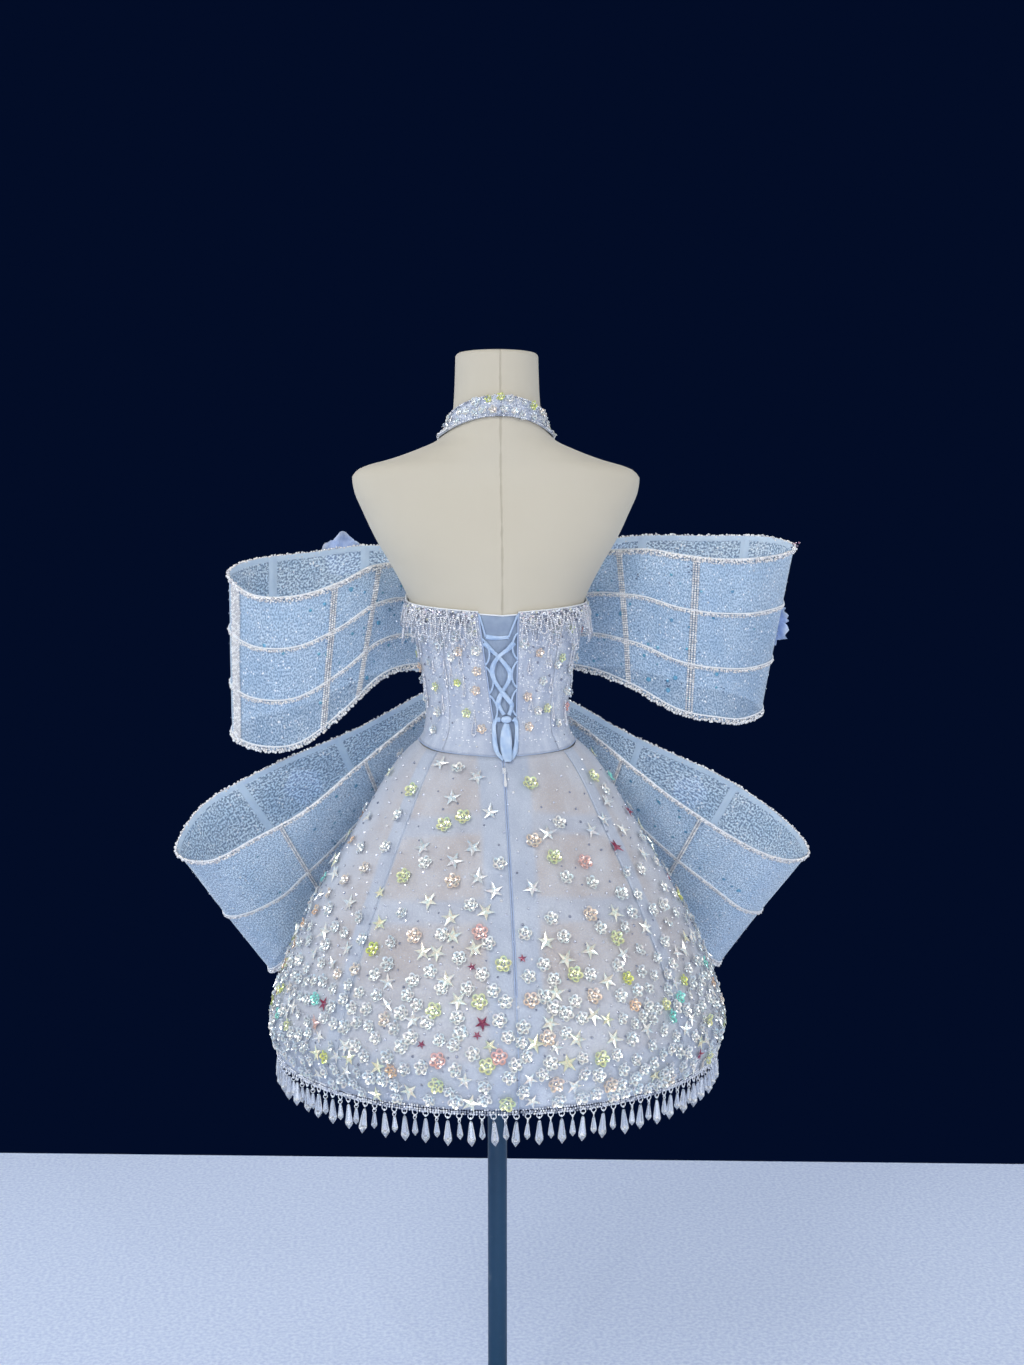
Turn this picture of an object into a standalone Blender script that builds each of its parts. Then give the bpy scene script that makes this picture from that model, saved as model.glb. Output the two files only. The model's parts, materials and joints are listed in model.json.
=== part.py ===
# Mini prom dress with a big front bow, resting on a limbless dress form that stands on a pole.
# Metres, +Z up.  The origin is on the floor under the pole.  The wearer's front looks to -Y,
# the laced and zipped back to +Y, and the wearer's left is +X.
# Angles round the body start at the centre back and turn towards +X.

import math
from collections import namedtuple
from functools import partial

import bmesh
import bpy
from mathutils import Vector
from mathutils.bvhtree import BVHTree

for old in list(bpy.data.objects):
    bpy.data.objects.remove(old, do_unlink=True)

# ------------------------------------------------------------------ driving dimensions
SEAM = 0.0003            # gap between pieces that are sewn or lie against each other
AROUND = 40              # facets round the form, the bodice and the skirt
STEP = 360.0 / AROUND    # degrees from one facet edge to the next
FRONT = 180.0            # angle of the centre front

PANEL_LIFT = 0.0008      # from the form to the satin panel behind the lacing
PANEL_WALL = 0.0010
PANEL_CLEAR = 0.0004     # from the satin panel to the bodice over it
BODICE_LIFT = PANEL_LIFT + PANEL_WALL + PANEL_CLEAR
BODICE_WALL = 0.0018
SKIRT_WALL = 0.0018
BOW_WALL = 0.0015
COLLAR_LIFT = 0.0015
COLLAR_WALL = 0.0024

PRINCESS_BACK = 45.0     # the seam between a back gore and a side gore
PRINCESS_FRONT = 135.0   # the seam between a side gore and the front
HEM_Z = 0.604

# Sections of the dress form: half width, and depth from the axis to the front and the back.
FormRow = namedtuple("FormRow", "z half front back")
FORM_ROWS = [
    FormRow(0.790, 0.158, 0.112, 0.122),
    FormRow(0.860, 0.161, 0.116, 0.128),
    FormRow(0.930, 0.149, 0.110, 0.116),
    FormRow(0.985, 0.123, 0.096, 0.094),
    FormRow(1.007, 0.112, 0.089, 0.0835),
    FormRow(1.022, 0.1040, 0.0845, 0.0765),
    FormRow(1.036, 0.0965, 0.0810, 0.0715),
    FormRow(1.062, 0.0938, 0.0805, 0.0690),
    FormRow(1.098, 0.0975, 0.0865, 0.0715),
    FormRow(1.130, 0.1025, 0.0940, 0.0755),
    FormRow(1.165, 0.1090, 0.1010, 0.0800),
    FormRow(1.198, 0.1165, 0.1040, 0.0835),
    FormRow(1.213, 0.1205, 0.1035, 0.0850),
    FormRow(1.226, 0.1260, 0.1020, 0.0860),
    FormRow(1.262, 0.1450, 0.0950, 0.0860),
    FormRow(1.296, 0.1650, 0.0870, 0.0820),
    FormRow(1.332, 0.1820, 0.0790, 0.0750),
    FormRow(1.363, 0.1945, 0.0710, 0.0670),
    FormRow(1.379, 0.1965, 0.0670, 0.0640),
    FormRow(1.389, 0.1890, 0.0650, 0.0625),
    FormRow(1.395, 0.1760, 0.0640, 0.0620),
    FormRow(1.404, 0.1440, 0.0630, 0.0615),
    FormRow(1.417, 0.1080, 0.0625, 0.0610),
    FormRow(1.430, 0.0800, 0.0615, 0.0605),
    FormRow(1.445, 0.0670, 0.0600, 0.0600),
    FormRow(1.471, 0.0594, 0.0580, 0.0585),
    FormRow(1.510, 0.0570, 0.0565, 0.0565),
    FormRow(1.546, 0.0560, 0.0560, 0.0560),
]
FORM_Z = [0.790, 0.860, 0.930, 0.980, 1.007, 1.022, 1.036, 1.052, 1.075, 1.100, 1.125, 1.150, 1.175,
          1.198, 1.220, 1.250, 1.290, 1.332, 1.363, 1.379, 1.389, 1.395, 1.404, 1.417, 1.430, 1.437,
          1.450, 1.471, 1.510]
NECK_TOP = 1.546
NECK_ROUNDING = 0.005

# The bust of the form, a soft rise on each side of the centre front.
BUST_RISE = 0.010
BUST_ANGLE = 34.0
BUST_SPREAD = 22.0
BUST_Z = 1.190
BUST_TALL = 0.045
FRONT_EASE = 0.0014      # extra room between the form and the bodice at the front

# Heights of the bodice's two edges round the body.
EdgeRow = namedtuple("EdgeRow", "angle waist top")
EDGE_ROWS = [
    EdgeRow(0.0, 1.007, 1.1975),
    EdgeRow(45.0, 1.012, 1.2040),
    EdgeRow(90.0, 1.022, 1.2130),
    EdgeRow(135.0, 1.016, 1.2420),
    EdgeRow(152.0, 1.011, 1.2560),
    EdgeRow(180.0, 1.006, 1.2330),
]

# Outside of the skirt.
SkirtRow = namedtuple("SkirtRow", "z half front back")
SKIRT_ROWS = [
    SkirtRow(HEM_Z, 0.305, 0.305, 0.305),
    SkirtRow(0.639, 0.312, 0.312, 0.311),
    SkirtRow(0.681, 0.303, 0.302, 0.300),
    SkirtRow(0.724, 0.288, 0.285, 0.283),
    SkirtRow(0.809, 0.248, 0.239, 0.238),
    SkirtRow(0.884, 0.206, 0.190, 0.190),
    SkirtRow(0.929, 0.179, 0.160, 0.159),
    SkirtRow(0.985, 0.144, 0.120, 0.117),
    SkirtRow(1.007, 0.1255, 0.098, 0.0905),
    SkirtRow(1.022, 0.1085, 0.089, 0.0815),
]
SKIRT_STEPS = (0.0, 0.05, 0.14, 0.27, 0.42, 0.58, 0.74, 0.88, 1.0)
BODICE_STEPS = (0.0, 0.08, 0.16, 0.25, 0.38, 0.53, 0.68, 0.84, 1.0)

# Crystal fringe under the hem: drops hang from a beaded strip.
HEM_DROPS = 136
HEM_ROOT = 0.3           # share of the pitch that a drop's root takes up
HEM_STRIP_WIDE = 0.0040
HEM_STRIP_TALL = 0.0060
DropSize = namedtuple("DropSize", "link length wide thick")
HEM_DROP_SIZES = [DropSize(0.009, 0.032, 0.0104, 0.0090), DropSize(0.011, 0.022, 0.0078, 0.0070)]

BELLY = 0.72             # how far down a drop is widest

# Bead fringe along the top edge of the bodice.
TOP_DROPS = 38
TOP_ROOT = 0.2           # share of the pitch that a drop's root takes up
TOP_STRIP_WIDE = 0.0022
TOP_STRIP_TALL = 0.0040
TOP_CLEAR = 0.0030       # from the bodice to the middle of a drop
KNOT_ANGLE = 24.0        # degrees each side of the centre front that the bow's knot takes up
TOP_DROP_SIZES = [DropSize(0.006, 0.026, 0.0050, 0.0030), DropSize(0.008, 0.040, 0.0050, 0.0030),
                  DropSize(0.006, 0.018, 0.0045, 0.0030)]

# The laced opening of the back: x of each edge at the top and at the waist.
OPEN_LEFT_TOP = 0.031
OPEN_LEFT_WAIST = 0.0045
OPEN_RIGHT_TOP = -0.0205
OPEN_RIGHT_WAIST = -0.0190
PANEL_LEFT = 27.0        # degrees that the satin panel reaches under each back edge
PANEL_RIGHT = -27.0
PANEL_TRIM = 0.003       # the panel stops this far inside the bodice's upper and lower edges
RIBBON_WIDE = 0.0052
RIBBON_THICK = 0.0010

# Pole and base of the stand.
POLE_RADIUS = 0.0135
BASE_RADIUS = 0.170
BASE_THICK = 0.012
FLANGE_RADIUS = 0.034
FLANGE_TALL = 0.020

# ------------------------------------------------------------------ materials
Paint = namedtuple("Paint", "colour roughness metallic")
PAINTS = {
    "linen": Paint((0.80, 0.77, 0.66), 0.85, 0.0),
    "steel": Paint((0.05, 0.09, 0.13), 0.40, 0.2),
    "bodice_cloth": Paint((0.50, 0.60, 0.80), 0.55, 0.0),
    "satin": Paint((0.42, 0.52, 0.72), 0.30, 0.0),
    "organza": Paint((0.52, 0.60, 0.80), 0.60, 0.0),
    "bow_mesh": Paint((0.36, 0.52, 0.72), 0.60, 0.0),
    "petal_cloth": Paint((0.42, 0.58, 0.78), 0.60, 0.0),
    "crystal": Paint((0.85, 0.90, 0.97), 0.10, 0.0),
    "zip_metal": Paint((0.70, 0.74, 0.80), 0.30, 0.8),
}


def paint(name):
    """The material of this name, made the first time it is asked for."""
    found = bpy.data.materials.get(name)
    if found is not None:
        return found
    made = bpy.data.materials.new(name)
    made.use_nodes = True
    shader = made.node_tree.nodes["Principled BSDF"]
    shader.inputs["Base Color"].default_value = (*PAINTS[name].colour, 1.0)
    shader.inputs["Roughness"].default_value = PAINTS[name].roughness
    shader.inputs["Metallic"].default_value = PAINTS[name].metallic
    return made


# ------------------------------------------------------------------ curves and surfaces
def smooth(keys, values, at):
    """Value at a place on a smooth curve through rising keys that never overshoots them."""
    if at <= keys[0]:
        return values[0]
    if at >= keys[-1]:
        return values[-1]
    left = max(k for k in range(len(keys) - 1) if keys[k] <= at)
    rises = [(values[k + 1] - values[k]) / (keys[k + 1] - keys[k]) for k in range(len(keys) - 1)]

    def slope(k):
        if k == 0:
            return rises[0]
        if k == len(keys) - 1:
            return rises[-1]
        if rises[k - 1] * rises[k] <= 0.0:
            return 0.0
        return 2.0 * rises[k - 1] * rises[k] / (rises[k - 1] + rises[k])

    span = keys[left + 1] - keys[left]
    s = (at - keys[left]) / span
    return ((2 * s ** 3 - 3 * s ** 2 + 1) * values[left] + (s ** 3 - 2 * s ** 2 + s) * span * slope(left)
            + (3 * s ** 2 - 2 * s ** 3) * values[left + 1] + (s ** 3 - s ** 2) * span * slope(left + 1))


def column(rows, name, at):
    """One named column of a table, at a place along the table's first column."""
    return smooth([row[0] for row in rows], [getattr(row, name) for row in rows], at)


def section_point(rows, angle, z, lift):
    """Point on the section at a height, moved out of the surface by lift."""
    turn = math.radians(angle)
    half = column(rows, "half", z)
    depth = column(rows, "back" if math.cos(turn) > 0.0 else "front", z)
    out = Vector((math.sin(turn) / half, math.cos(turn) / depth, 0.0)).normalized()
    return Vector((half * math.sin(turn), depth * math.cos(turn), z)) + out * lift


def bust(angle, z):
    away = abs((angle % 360.0) - FRONT) - BUST_ANGLE
    return BUST_RISE * math.exp(-(away / BUST_SPREAD) ** 2) * math.exp(-((z - BUST_Z) / BUST_TALL) ** 2)


def form_point(angle, z, lift=0.0):
    return section_point(FORM_ROWS, angle, z, lift + bust(angle, z))


def skirt_point(angle, z, lift=0.0):
    return section_point(SKIRT_ROWS, angle, z, lift)


def folded(angle):
    """Angle from the centre back, the same on both sides of the body."""
    turned = angle % 360.0
    return min(turned, 360.0 - turned)


def waist_z(angle):
    return column(EDGE_ROWS, "waist", folded(angle))


def top_z(angle):
    return column(EDGE_ROWS, "top", folded(angle))


# ------------------------------------------------------------------ solids
def finish(name, mesh_data, paint_name, smooth_angle=40.0):
    """Turn a bmesh into a named object with its faces pointing out and split into triangles."""
    bmesh.ops.recalc_face_normals(mesh_data, faces=mesh_data.faces[:])
    bmesh.ops.triangulate(mesh_data, faces=mesh_data.faces[:], quad_method="FIXED")
    mesh = bpy.data.meshes.new(name)
    mesh_data.to_mesh(mesh)
    mesh_data.free()
    mesh.shade_smooth()
    mesh.set_sharp_from_angle(angle=math.radians(smooth_angle))
    mesh.materials.append(paint(paint_name))
    made = bpy.data.objects.new(name, mesh)
    bpy.context.scene.collection.objects.link(made)
    return made


def wall(name, outer, inner, paint_name):
    """Cloth wall between two grids of points, outer and inner, with the rims closed.

    The grids have the same number of rows.  The inner one may have fewer columns.
    """
    shape = bmesh.new()
    out = [[shape.verts.new(point) for point in row] for row in outer]
    back = [[shape.verts.new(point) for point in row] for row in inner]
    for grid in (out, back):
        for low, high in zip(grid, grid[1:]):
            for k in range(len(low) - 1):
                shape.faces.new((low[k], low[k + 1], high[k + 1], high[k]))
    for edge in (0, -1):
        for low_out, high_out, low_in, high_in in zip(out, out[1:], back, back[1:]):
            shape.faces.new((low_out[edge], high_out[edge], high_in[edge], low_in[edge]))
        shape.faces.new(out[edge] + back[edge][::-1])
    return finish(name, shape, paint_name)


def rings(name, loops, paint_name, smooth_angle=40.0):
    """Closed solid through rings of equal count, capped at both ends."""
    shape = bmesh.new()
    made = [[shape.verts.new(point) for point in loop] for loop in loops]
    for low, high in zip(made, made[1:]):
        for k in range(len(low)):
            after = (k + 1) % len(low)
            shape.faces.new((low[k], low[after], high[after], high[k]))
    shape.faces.new(made[0])
    shape.faces.new(made[-1])
    return finish(name, shape, paint_name, smooth_angle)


def turned(name, profile, sides, paint_name):
    """Round solid from (radius, z) pairs, from its lowest ring to its highest."""
    turns = [2 * math.pi * k / sides for k in range(sides)]
    loops = [[Vector((radius * math.sin(turn), radius * math.cos(turn), z)) for turn in turns]
             for radius, z in profile]
    return rings(name, loops, paint_name)


def seam_angles(start, stop, count, radius):
    """Angles of a gore's columns, pulled in by half a seam gap at both of its seams."""
    pull = math.degrees(SEAM / 2 / radius)
    angles = [start + (stop - start) * k / count for k in range(count + 1)]
    angles[0] += pull
    angles[-1] -= pull
    return angles


# ------------------------------------------------------------------ stand and form
def stand():
    turned("stand_base", [(BASE_RADIUS, 0.0), (BASE_RADIUS, BASE_THICK - 0.003),
                          (BASE_RADIUS - 0.006, BASE_THICK)], 48, "steel")
    flange_foot = BASE_THICK + SEAM
    turned("stand_flange", [(FLANGE_RADIUS, flange_foot), (FLANGE_RADIUS, flange_foot + 0.005),
                            (POLE_RADIUS + 0.006, flange_foot + 0.009),
                            (POLE_RADIUS + 0.004, flange_foot + FLANGE_TALL)], 24, "steel")
    turned("stand_pole", [(POLE_RADIUS, flange_foot + FLANGE_TALL + SEAM),
                          (POLE_RADIUS, FORM_ROWS[0].z - SEAM)], 24, "steel")


def ease(angle, z):
    """How far the form stays back under the front of the bodice, so that the cloth clears it."""
    if z > BUST_Z + 2 * BUST_TALL:
        return 0.0
    return FRONT_EASE * max(0.0, -math.cos(math.radians(angle)))


def form():
    loops = [[form_point(k * STEP, z, -ease(k * STEP, z)) for k in range(AROUND)] for z in FORM_Z]
    loops.append([form_point(k * STEP, NECK_TOP - NECK_ROUNDING) for k in range(AROUND)])
    loops.append([form_point(k * STEP, NECK_TOP, -NECK_ROUNDING) for k in range(AROUND)])
    rings("form_torso", loops, "linen", 50.0)


# ------------------------------------------------------------------ bodice and lacing
def opening_angle(share, at_waist, at_top, z):
    """Angle of a back edge of the laced opening, from its x at the waist and at the top."""
    x = at_waist + (at_top - at_waist) * share
    return math.degrees(math.asin(x / column(FORM_ROWS, "half", z)))


BODICE_RADIUS = 0.11     # near enough, for the width of a seam gap


def bodice_rows(start, stop, count):
    """Outer and inner grids of a bodice piece; start and stop are angles for a share of height."""
    outer = []
    inner = []
    for share in BODICE_STEPS:
        out_row = []
        in_row = []
        for angle in seam_angles(start(share), stop(share), count, BODICE_RADIUS):
            low = waist_z(angle) + SEAM / 2
            z = low + (top_z(angle) - low) * share
            out_row.append(form_point(angle, z, BODICE_LIFT + BODICE_WALL))
            in_row.append(form_point(angle, z, BODICE_LIFT))
        outer.append(out_row)
        inner.append(in_row)
    return outer, inner


def left_edge(share):
    z = waist_z(0.0) + (top_z(0.0) - waist_z(0.0)) * share
    return opening_angle(share, OPEN_LEFT_WAIST, OPEN_LEFT_TOP, z)


def right_edge(share):
    z = waist_z(0.0) + (top_z(0.0) - waist_z(0.0)) * share
    return opening_angle(share, OPEN_RIGHT_WAIST, OPEN_RIGHT_TOP, z)


def bodice():
    princess = PRINCESS_BACK
    side = PRINCESS_FRONT
    side_columns = round((side - princess) / STEP)
    front_columns = round((360.0 - 2 * side) / STEP)
    pieces = [
        ("bodice_back_left", left_edge, lambda share: princess, 5),
        ("bodice_side_left", lambda share: princess, lambda share: side, side_columns),
        ("bodice_front", lambda share: side, lambda share: 360.0 - side, front_columns),
        ("bodice_side_right", lambda share: 360.0 - side, lambda share: 360.0 - princess, side_columns),
        ("bodice_back_right", lambda share: 360.0 - princess, lambda share: 360.0 + right_edge(share), 5),
    ]
    for name, start, stop, count in pieces:
        outer, inner = bodice_rows(start, stop, count)
        wall(name, outer, inner, "bodice_cloth")


def modesty_panel():
    count = round((PANEL_LEFT - PANEL_RIGHT) / STEP)
    outer = []
    inner = []
    angles = [PANEL_RIGHT + STEP * k for k in range(count + 1)]
    for share in BODICE_STEPS:
        trim = PANEL_TRIM if share == 0.0 else -PANEL_TRIM if share == 1.0 else 0.0
        heights = [waist_z(a) + (top_z(a) - waist_z(a)) * share + trim for a in angles]
        outer.append([form_point(a, z, PANEL_LIFT + PANEL_WALL) for a, z in zip(angles, heights)])
        inner.append([form_point(a, z, PANEL_LIFT) for a, z in zip(angles, heights)])
    wall("modesty_panel", outer, inner, "satin")


def back_point(x, z, lift):
    """Point over the back of the bodice, from its x and its height."""
    angle = math.degrees(math.asin(x / column(FORM_ROWS, "half", z)))
    return form_point(angle, z, lift)


RibbonRow = namedtuple("RibbonRow", "x z lift")
LACE_OVER = 0.0014       # how far the upper ribbon rides over the lower one
LACE_UNDER = PANEL_LIFT + PANEL_WALL - BODICE_LIFT - BODICE_WALL    # down to the satin panel
LACE_BAR = [
    RibbonRow(0.0215, 1.1665, LACE_UNDER), RibbonRow(0.0070, 1.1650, LACE_UNDER),
    RibbonRow(-0.0085, 1.1660, LACE_UNDER),
]
LACE_A = [
    RibbonRow(0.0235, 1.1590, 0.0), RibbonRow(0.0150, 1.1500, 0.0), RibbonRow(0.0045, 1.1395, 0.0),
    RibbonRow(-0.0060, 1.1270, 0.0), RibbonRow(-0.0105, 1.1170, 0.0), RibbonRow(-0.0080, 1.1060, 0.0),
    RibbonRow(-0.0020, 1.0950, 0.0), RibbonRow(0.0030, 1.0850, 0.0), RibbonRow(0.0045, 1.0765, 0.0),
    RibbonRow(0.0005, 1.0680, 0.0), RibbonRow(-0.0030, 1.0618, 0.0),
]
LACE_B = [
    RibbonRow(-0.0150, 1.1590, LACE_OVER), RibbonRow(-0.0070, 1.1500, LACE_OVER),
    RibbonRow(0.0030, 1.1420, LACE_OVER), RibbonRow(0.0105, 1.1310, LACE_OVER),
    RibbonRow(0.0125, 1.1190, LACE_OVER), RibbonRow(0.0090, 1.1075, LACE_OVER),
    RibbonRow(0.0020, 1.0960, LACE_OVER), RibbonRow(-0.0060, 1.0850, LACE_OVER),
    RibbonRow(-0.0125, 1.0760, LACE_OVER), RibbonRow(-0.0115, 1.0680, LACE_OVER),
    RibbonRow(-0.0090, 1.0618, LACE_OVER),
]
LACE_LOOP_LEFT = [
    RibbonRow(0.0018, 1.0555, 0.0006), RibbonRow(0.0070, 1.0550, 0.0010),
    RibbonRow(0.0100, 1.0480, 0.0014), RibbonRow(0.0095, 1.0340, 0.0020),
    RibbonRow(0.0080, 1.0200, 0.0014), RibbonRow(0.0066, 1.0110, 0.0004),
]
LACE_LOOP_MIDDLE = [
    RibbonRow(-0.0060, 1.0504, 0.0010), RibbonRow(-0.0050, 1.0400, 0.0034),
    RibbonRow(-0.0045, 1.0260, 0.0042), RibbonRow(-0.0050, 1.0120, 0.0060),
    RibbonRow(-0.0055, 1.0025, 0.0115),
]
LACE_LOOP_RIGHT = [
    RibbonRow(-0.0146, 1.0562, 0.0006), RibbonRow(-0.0182, 1.0528, 0.0010),
    RibbonRow(-0.0190, 1.0400, 0.0014), RibbonRow(-0.0178, 1.0220, 0.0014),
    RibbonRow(-0.0140, 1.0100, 0.0004),
]
LACE_KNOT_LEFT = 0.0012
LACE_KNOT_RIGHT = -0.0124
LACE_KNOT_LOW = 1.0510
LACE_KNOT_HIGH = 1.0603
LACE_KNOT_THICK = 0.0038
LACE_TAIL_WIDE = 0.0090  # the middle loop is pressed flat and stands wider
RIBBON_LIFT = BODICE_LIFT + BODICE_WALL + SEAM


def ribbon(name, rows, wide=RIBBON_WIDE):
    """Flat satin ribbon through rows of places over the back of the bodice."""
    outer = []
    inner = []
    for k, row in enumerate(rows):
        before = rows[max(k - 1, 0)]
        after = rows[min(k + 1, len(rows) - 1)]
        along = Vector((after.x - before.x, after.z - before.z)).normalized()
        places = [(row.x - along.y * wide * s / 2, row.z + along.x * wide * s / 2) for s in (-1, 1)]
        outer.append([back_point(x, z, RIBBON_LIFT + row.lift + RIBBON_THICK) for x, z in places])
        inner.append([back_point(x, z, RIBBON_LIFT + row.lift) for x, z in places])
    wall(name, outer, inner, "satin")


def lacing():
    ribbon("lace_bar", LACE_BAR)
    ribbon("lace_ribbon_a", LACE_A)
    ribbon("lace_ribbon_b", LACE_B)
    ribbon("lace_loop_left", LACE_LOOP_LEFT)
    ribbon("lace_loop_middle", LACE_LOOP_MIDDLE, LACE_TAIL_WIDE)
    ribbon("lace_loop_right", LACE_LOOP_RIGHT)
    lace_knot()


def lace_knot():
    """Rounded knot of the ribbon bow, as a flat cushion over the lacing."""
    loops = []
    for lift, inset in ((0.0, 0.0012), (LACE_KNOT_THICK * 0.3, 0.0), (LACE_KNOT_THICK * 0.7, 0.0),
                        (LACE_KNOT_THICK, 0.0022)):
        left = LACE_KNOT_LEFT - inset
        right = LACE_KNOT_RIGHT + inset
        low = LACE_KNOT_LOW + inset
        high = LACE_KNOT_HIGH - inset
        loops.append([back_point(x, z, RIBBON_LIFT + lift)
                      for x, z in ((left, low), (left, high), (right, high), (right, low))])
    rings("lace_knot", loops, "satin")


# ------------------------------------------------------------------ halter
COLLAR_BACK_Z = 1.471    # middle of the collar at the nape
COLLAR_SIDE_Z = 1.443    # and where it meets the straps
COLLAR_TALL = 0.027
COLLAR_REACH = 81.0      # degrees from the nape to each end of the collar

StrapRow = namedtuple("StrapRow", "angle_up z_up angle_low z_low")
STRAP_ROWS = [
    StrapRow(82.0, 1.4609, 82.0, 1.4339), StrapRow(97.0, 1.4590, 98.0, 1.4315),
    StrapRow(112.0, 1.4555, 118.0, 1.4260), StrapRow(127.0, 1.4460, 137.0, 1.4130),
    StrapRow(143.0, 1.4280, 153.0, 1.3940), StrapRow(163.0, 1.3970, 156.0, 1.3680),
    StrapRow(164.5, 1.3550, 154.5, 1.3380), StrapRow(162.5, 1.3050, 151.5, 1.3000),
    StrapRow(161.0, 1.2490, 148.5, 1.2520),
]
STRAP_STEPS = 20


def skin_point(angle, z, lift):
    """Point over the form, moved out along the surface's own normal."""
    around = form_point(angle + 1.0, z) - form_point(angle - 1.0, z)
    upward = form_point(angle, z + 0.002) - form_point(angle, z - 0.002)
    out = around.cross(upward).normalized()
    here = form_point(angle, z)
    if out.x * here.x + out.y * here.y < 0.0:
        out = -out
    return here + out * lift


def collar():
    count = round(2 * COLLAR_REACH / STEP)
    angles = [-COLLAR_REACH + STEP * k for k in range(count + 1)]
    outer = []
    inner = []
    for share in (-0.5, 0.0, 0.5):
        rises = [(COLLAR_BACK_Z - COLLAR_SIDE_Z) * math.cos(math.radians(a)) for a in angles]
        heights = [COLLAR_SIDE_Z + rise + share * COLLAR_TALL for rise in rises]
        outer.append([skin_point(a, z, COLLAR_LIFT + COLLAR_WALL) for a, z in zip(angles, heights)])
        inner.append([skin_point(a, z, COLLAR_LIFT) for a, z in zip(angles, heights)])
    wall("halter_collar", outer, inner, "bodice_cloth")


def straps():
    first_angle = COLLAR_REACH + math.degrees(SEAM / column(FORM_ROWS, "half", COLLAR_SIDE_Z))
    for side, name in ((1, "halter_strap_left"), (-1, "halter_strap_right")):
        outer = []
        inner = []
        for step in range(STRAP_STEPS + 1):
            at = (len(STRAP_ROWS) - 1) * step / STRAP_STEPS
            row = StrapRow(*(catmull([row[k] for row in STRAP_ROWS], at) for k in range(4)))
            out_row = []
            in_row = []
            for share in (0.0, 0.5, 1.0):
                angle = row.angle_up + (row.angle_low - row.angle_up) * share
                z = row.z_up + (row.z_low - row.z_up) * share
                if step == 0:
                    angle = first_angle
                if step == STRAP_STEPS:
                    z = top_z(angle) + SEAM
                out_row.append(skin_point(side * angle, z, COLLAR_LIFT + COLLAR_WALL))
                in_row.append(skin_point(side * angle, z, COLLAR_LIFT))
            outer.append(out_row)
            inner.append(in_row)
        wall(name, outer, inner, "bodice_cloth")


# ------------------------------------------------------------------ skirt
SKIRT_WAIST_RADIUS = 0.11
SKIRT_HEM_RADIUS = 0.305


def skirt():
    back = PRINCESS_BACK
    side = PRINCESS_FRONT
    pieces = [
        ("skirt_back_left", 0.0, back),
        ("skirt_side_left", back, side),
        ("skirt_front", side, 360.0 - side),
        ("skirt_side_right", 360.0 - side, 360.0 - back),
        ("skirt_back_right", 360.0 - back, 360.0),
    ]
    for name, start, stop in pieces:
        outer = []
        inner = []
        for share in SKIRT_STEPS:
            radius = SKIRT_WAIST_RADIUS + (SKIRT_HEM_RADIUS - SKIRT_WAIST_RADIUS) * share
            angles = seam_angles(start, stop, round((stop - start) / STEP), radius)
            heights = [HEM_Z + (waist_z(a) - SEAM / 2 - HEM_Z) * (1.0 - share) for a in angles]
            outer.append([skirt_point(a, z) for a, z in zip(angles, heights)])
            inner.append([skirt_point(a, z, -SKIRT_WALL) for a, z in zip(angles, heights)])
        wall(name, outer, inner, "organza")


# ------------------------------------------------------------------ fringes
def fringe(name, stations, closed, strip_wide, strip_tall, size_of, paint_name, hang):
    """Beaded strip with four-sided drops.

    stations are (top middle point, outward direction) pairs; drop k hangs between stations
    2k and 2k + 1, and the strip is open below between one drop and the next.  hang gives the
    middle of drop k at a depth under its root.
    """
    shape = bmesh.new()
    down = Vector((0.0, 0.0, -1.0))
    drops = len(stations) // 2
    tops = []
    feet = []
    for k, (point, out) in enumerate(stations):
        pair = [point - out * strip_wide / 2, point + out * strip_wide / 2]
        feet.append([shape.verts.new(p + down * strip_tall) for p in pair])
        keep = k % 2 == 0 or (not closed and k == len(stations) - 1)
        tops.append([shape.verts.new(p) for p in pair] if keep else None)
    for k in range(drops):
        first = 2 * k
        second = first + 1
        last = k == drops - 1
        if last and not closed:
            ends = (tops[second], [feet[first], feet[second]])
        else:
            after = (first + 2) % len(stations)
            ends = (tops[after], [feet[first], feet[second], feet[after]])
            shape.faces.new((feet[second][0], feet[second][1], feet[after][1], feet[after][0]))
        top_end, foot_run = ends
        shape.faces.new((tops[first][0], tops[first][1], top_end[1], top_end[0]))
        for edge in (0, 1):
            shape.faces.new([tops[first][edge], top_end[edge]] + [foot[edge] for foot in foot_run[::-1]])
        hang_drop(shape, feet[first], feet[second], size_of(k), partial(hang, k))
    if not closed:
        for top, foot in ((tops[0], feet[0]), (tops[-1], feet[-1])):
            shape.faces.new((top[0], top[1], foot[1], foot[0]))
    return finish(name, shape, paint_name, 20.0)


LINK_HALF = 0.0011       # half the width of a drop's link


def hang_drop(shape, first, second, size, centre_at):
    """One drop under the strip: a thin link, a body that widens downwards, and a point."""
    root = [first[0], first[1], second[1], second[0]]
    middle = sum((vert.co for vert in root), Vector()) / 4
    along = (second[0].co - first[0].co).normalized()
    out = (first[1].co - first[0].co).normalized()
    corners = ((-1, -1), (-1, 1), (1, 1), (1, -1))
    levels = ((size.link, LINK_HALF, LINK_HALF),
              (size.link + size.length * BELLY, size.wide / 2, size.thick / 2))
    upper = root
    for depth, half_wide, half_thick in levels:
        centre = centre_at(middle, depth)
        lower = [shape.verts.new(centre + along * half_wide * a + out * half_thick * b) for a, b in corners]
        for k in range(4):
            after = (k + 1) % 4
            shape.faces.new((upper[k], upper[after], lower[after], lower[k]))
        upper = lower
    tip = shape.verts.new(centre_at(middle, size.link + size.length))
    for k in range(4):
        shape.faces.new((upper[k], upper[(k + 1) % 4], tip))


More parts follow.
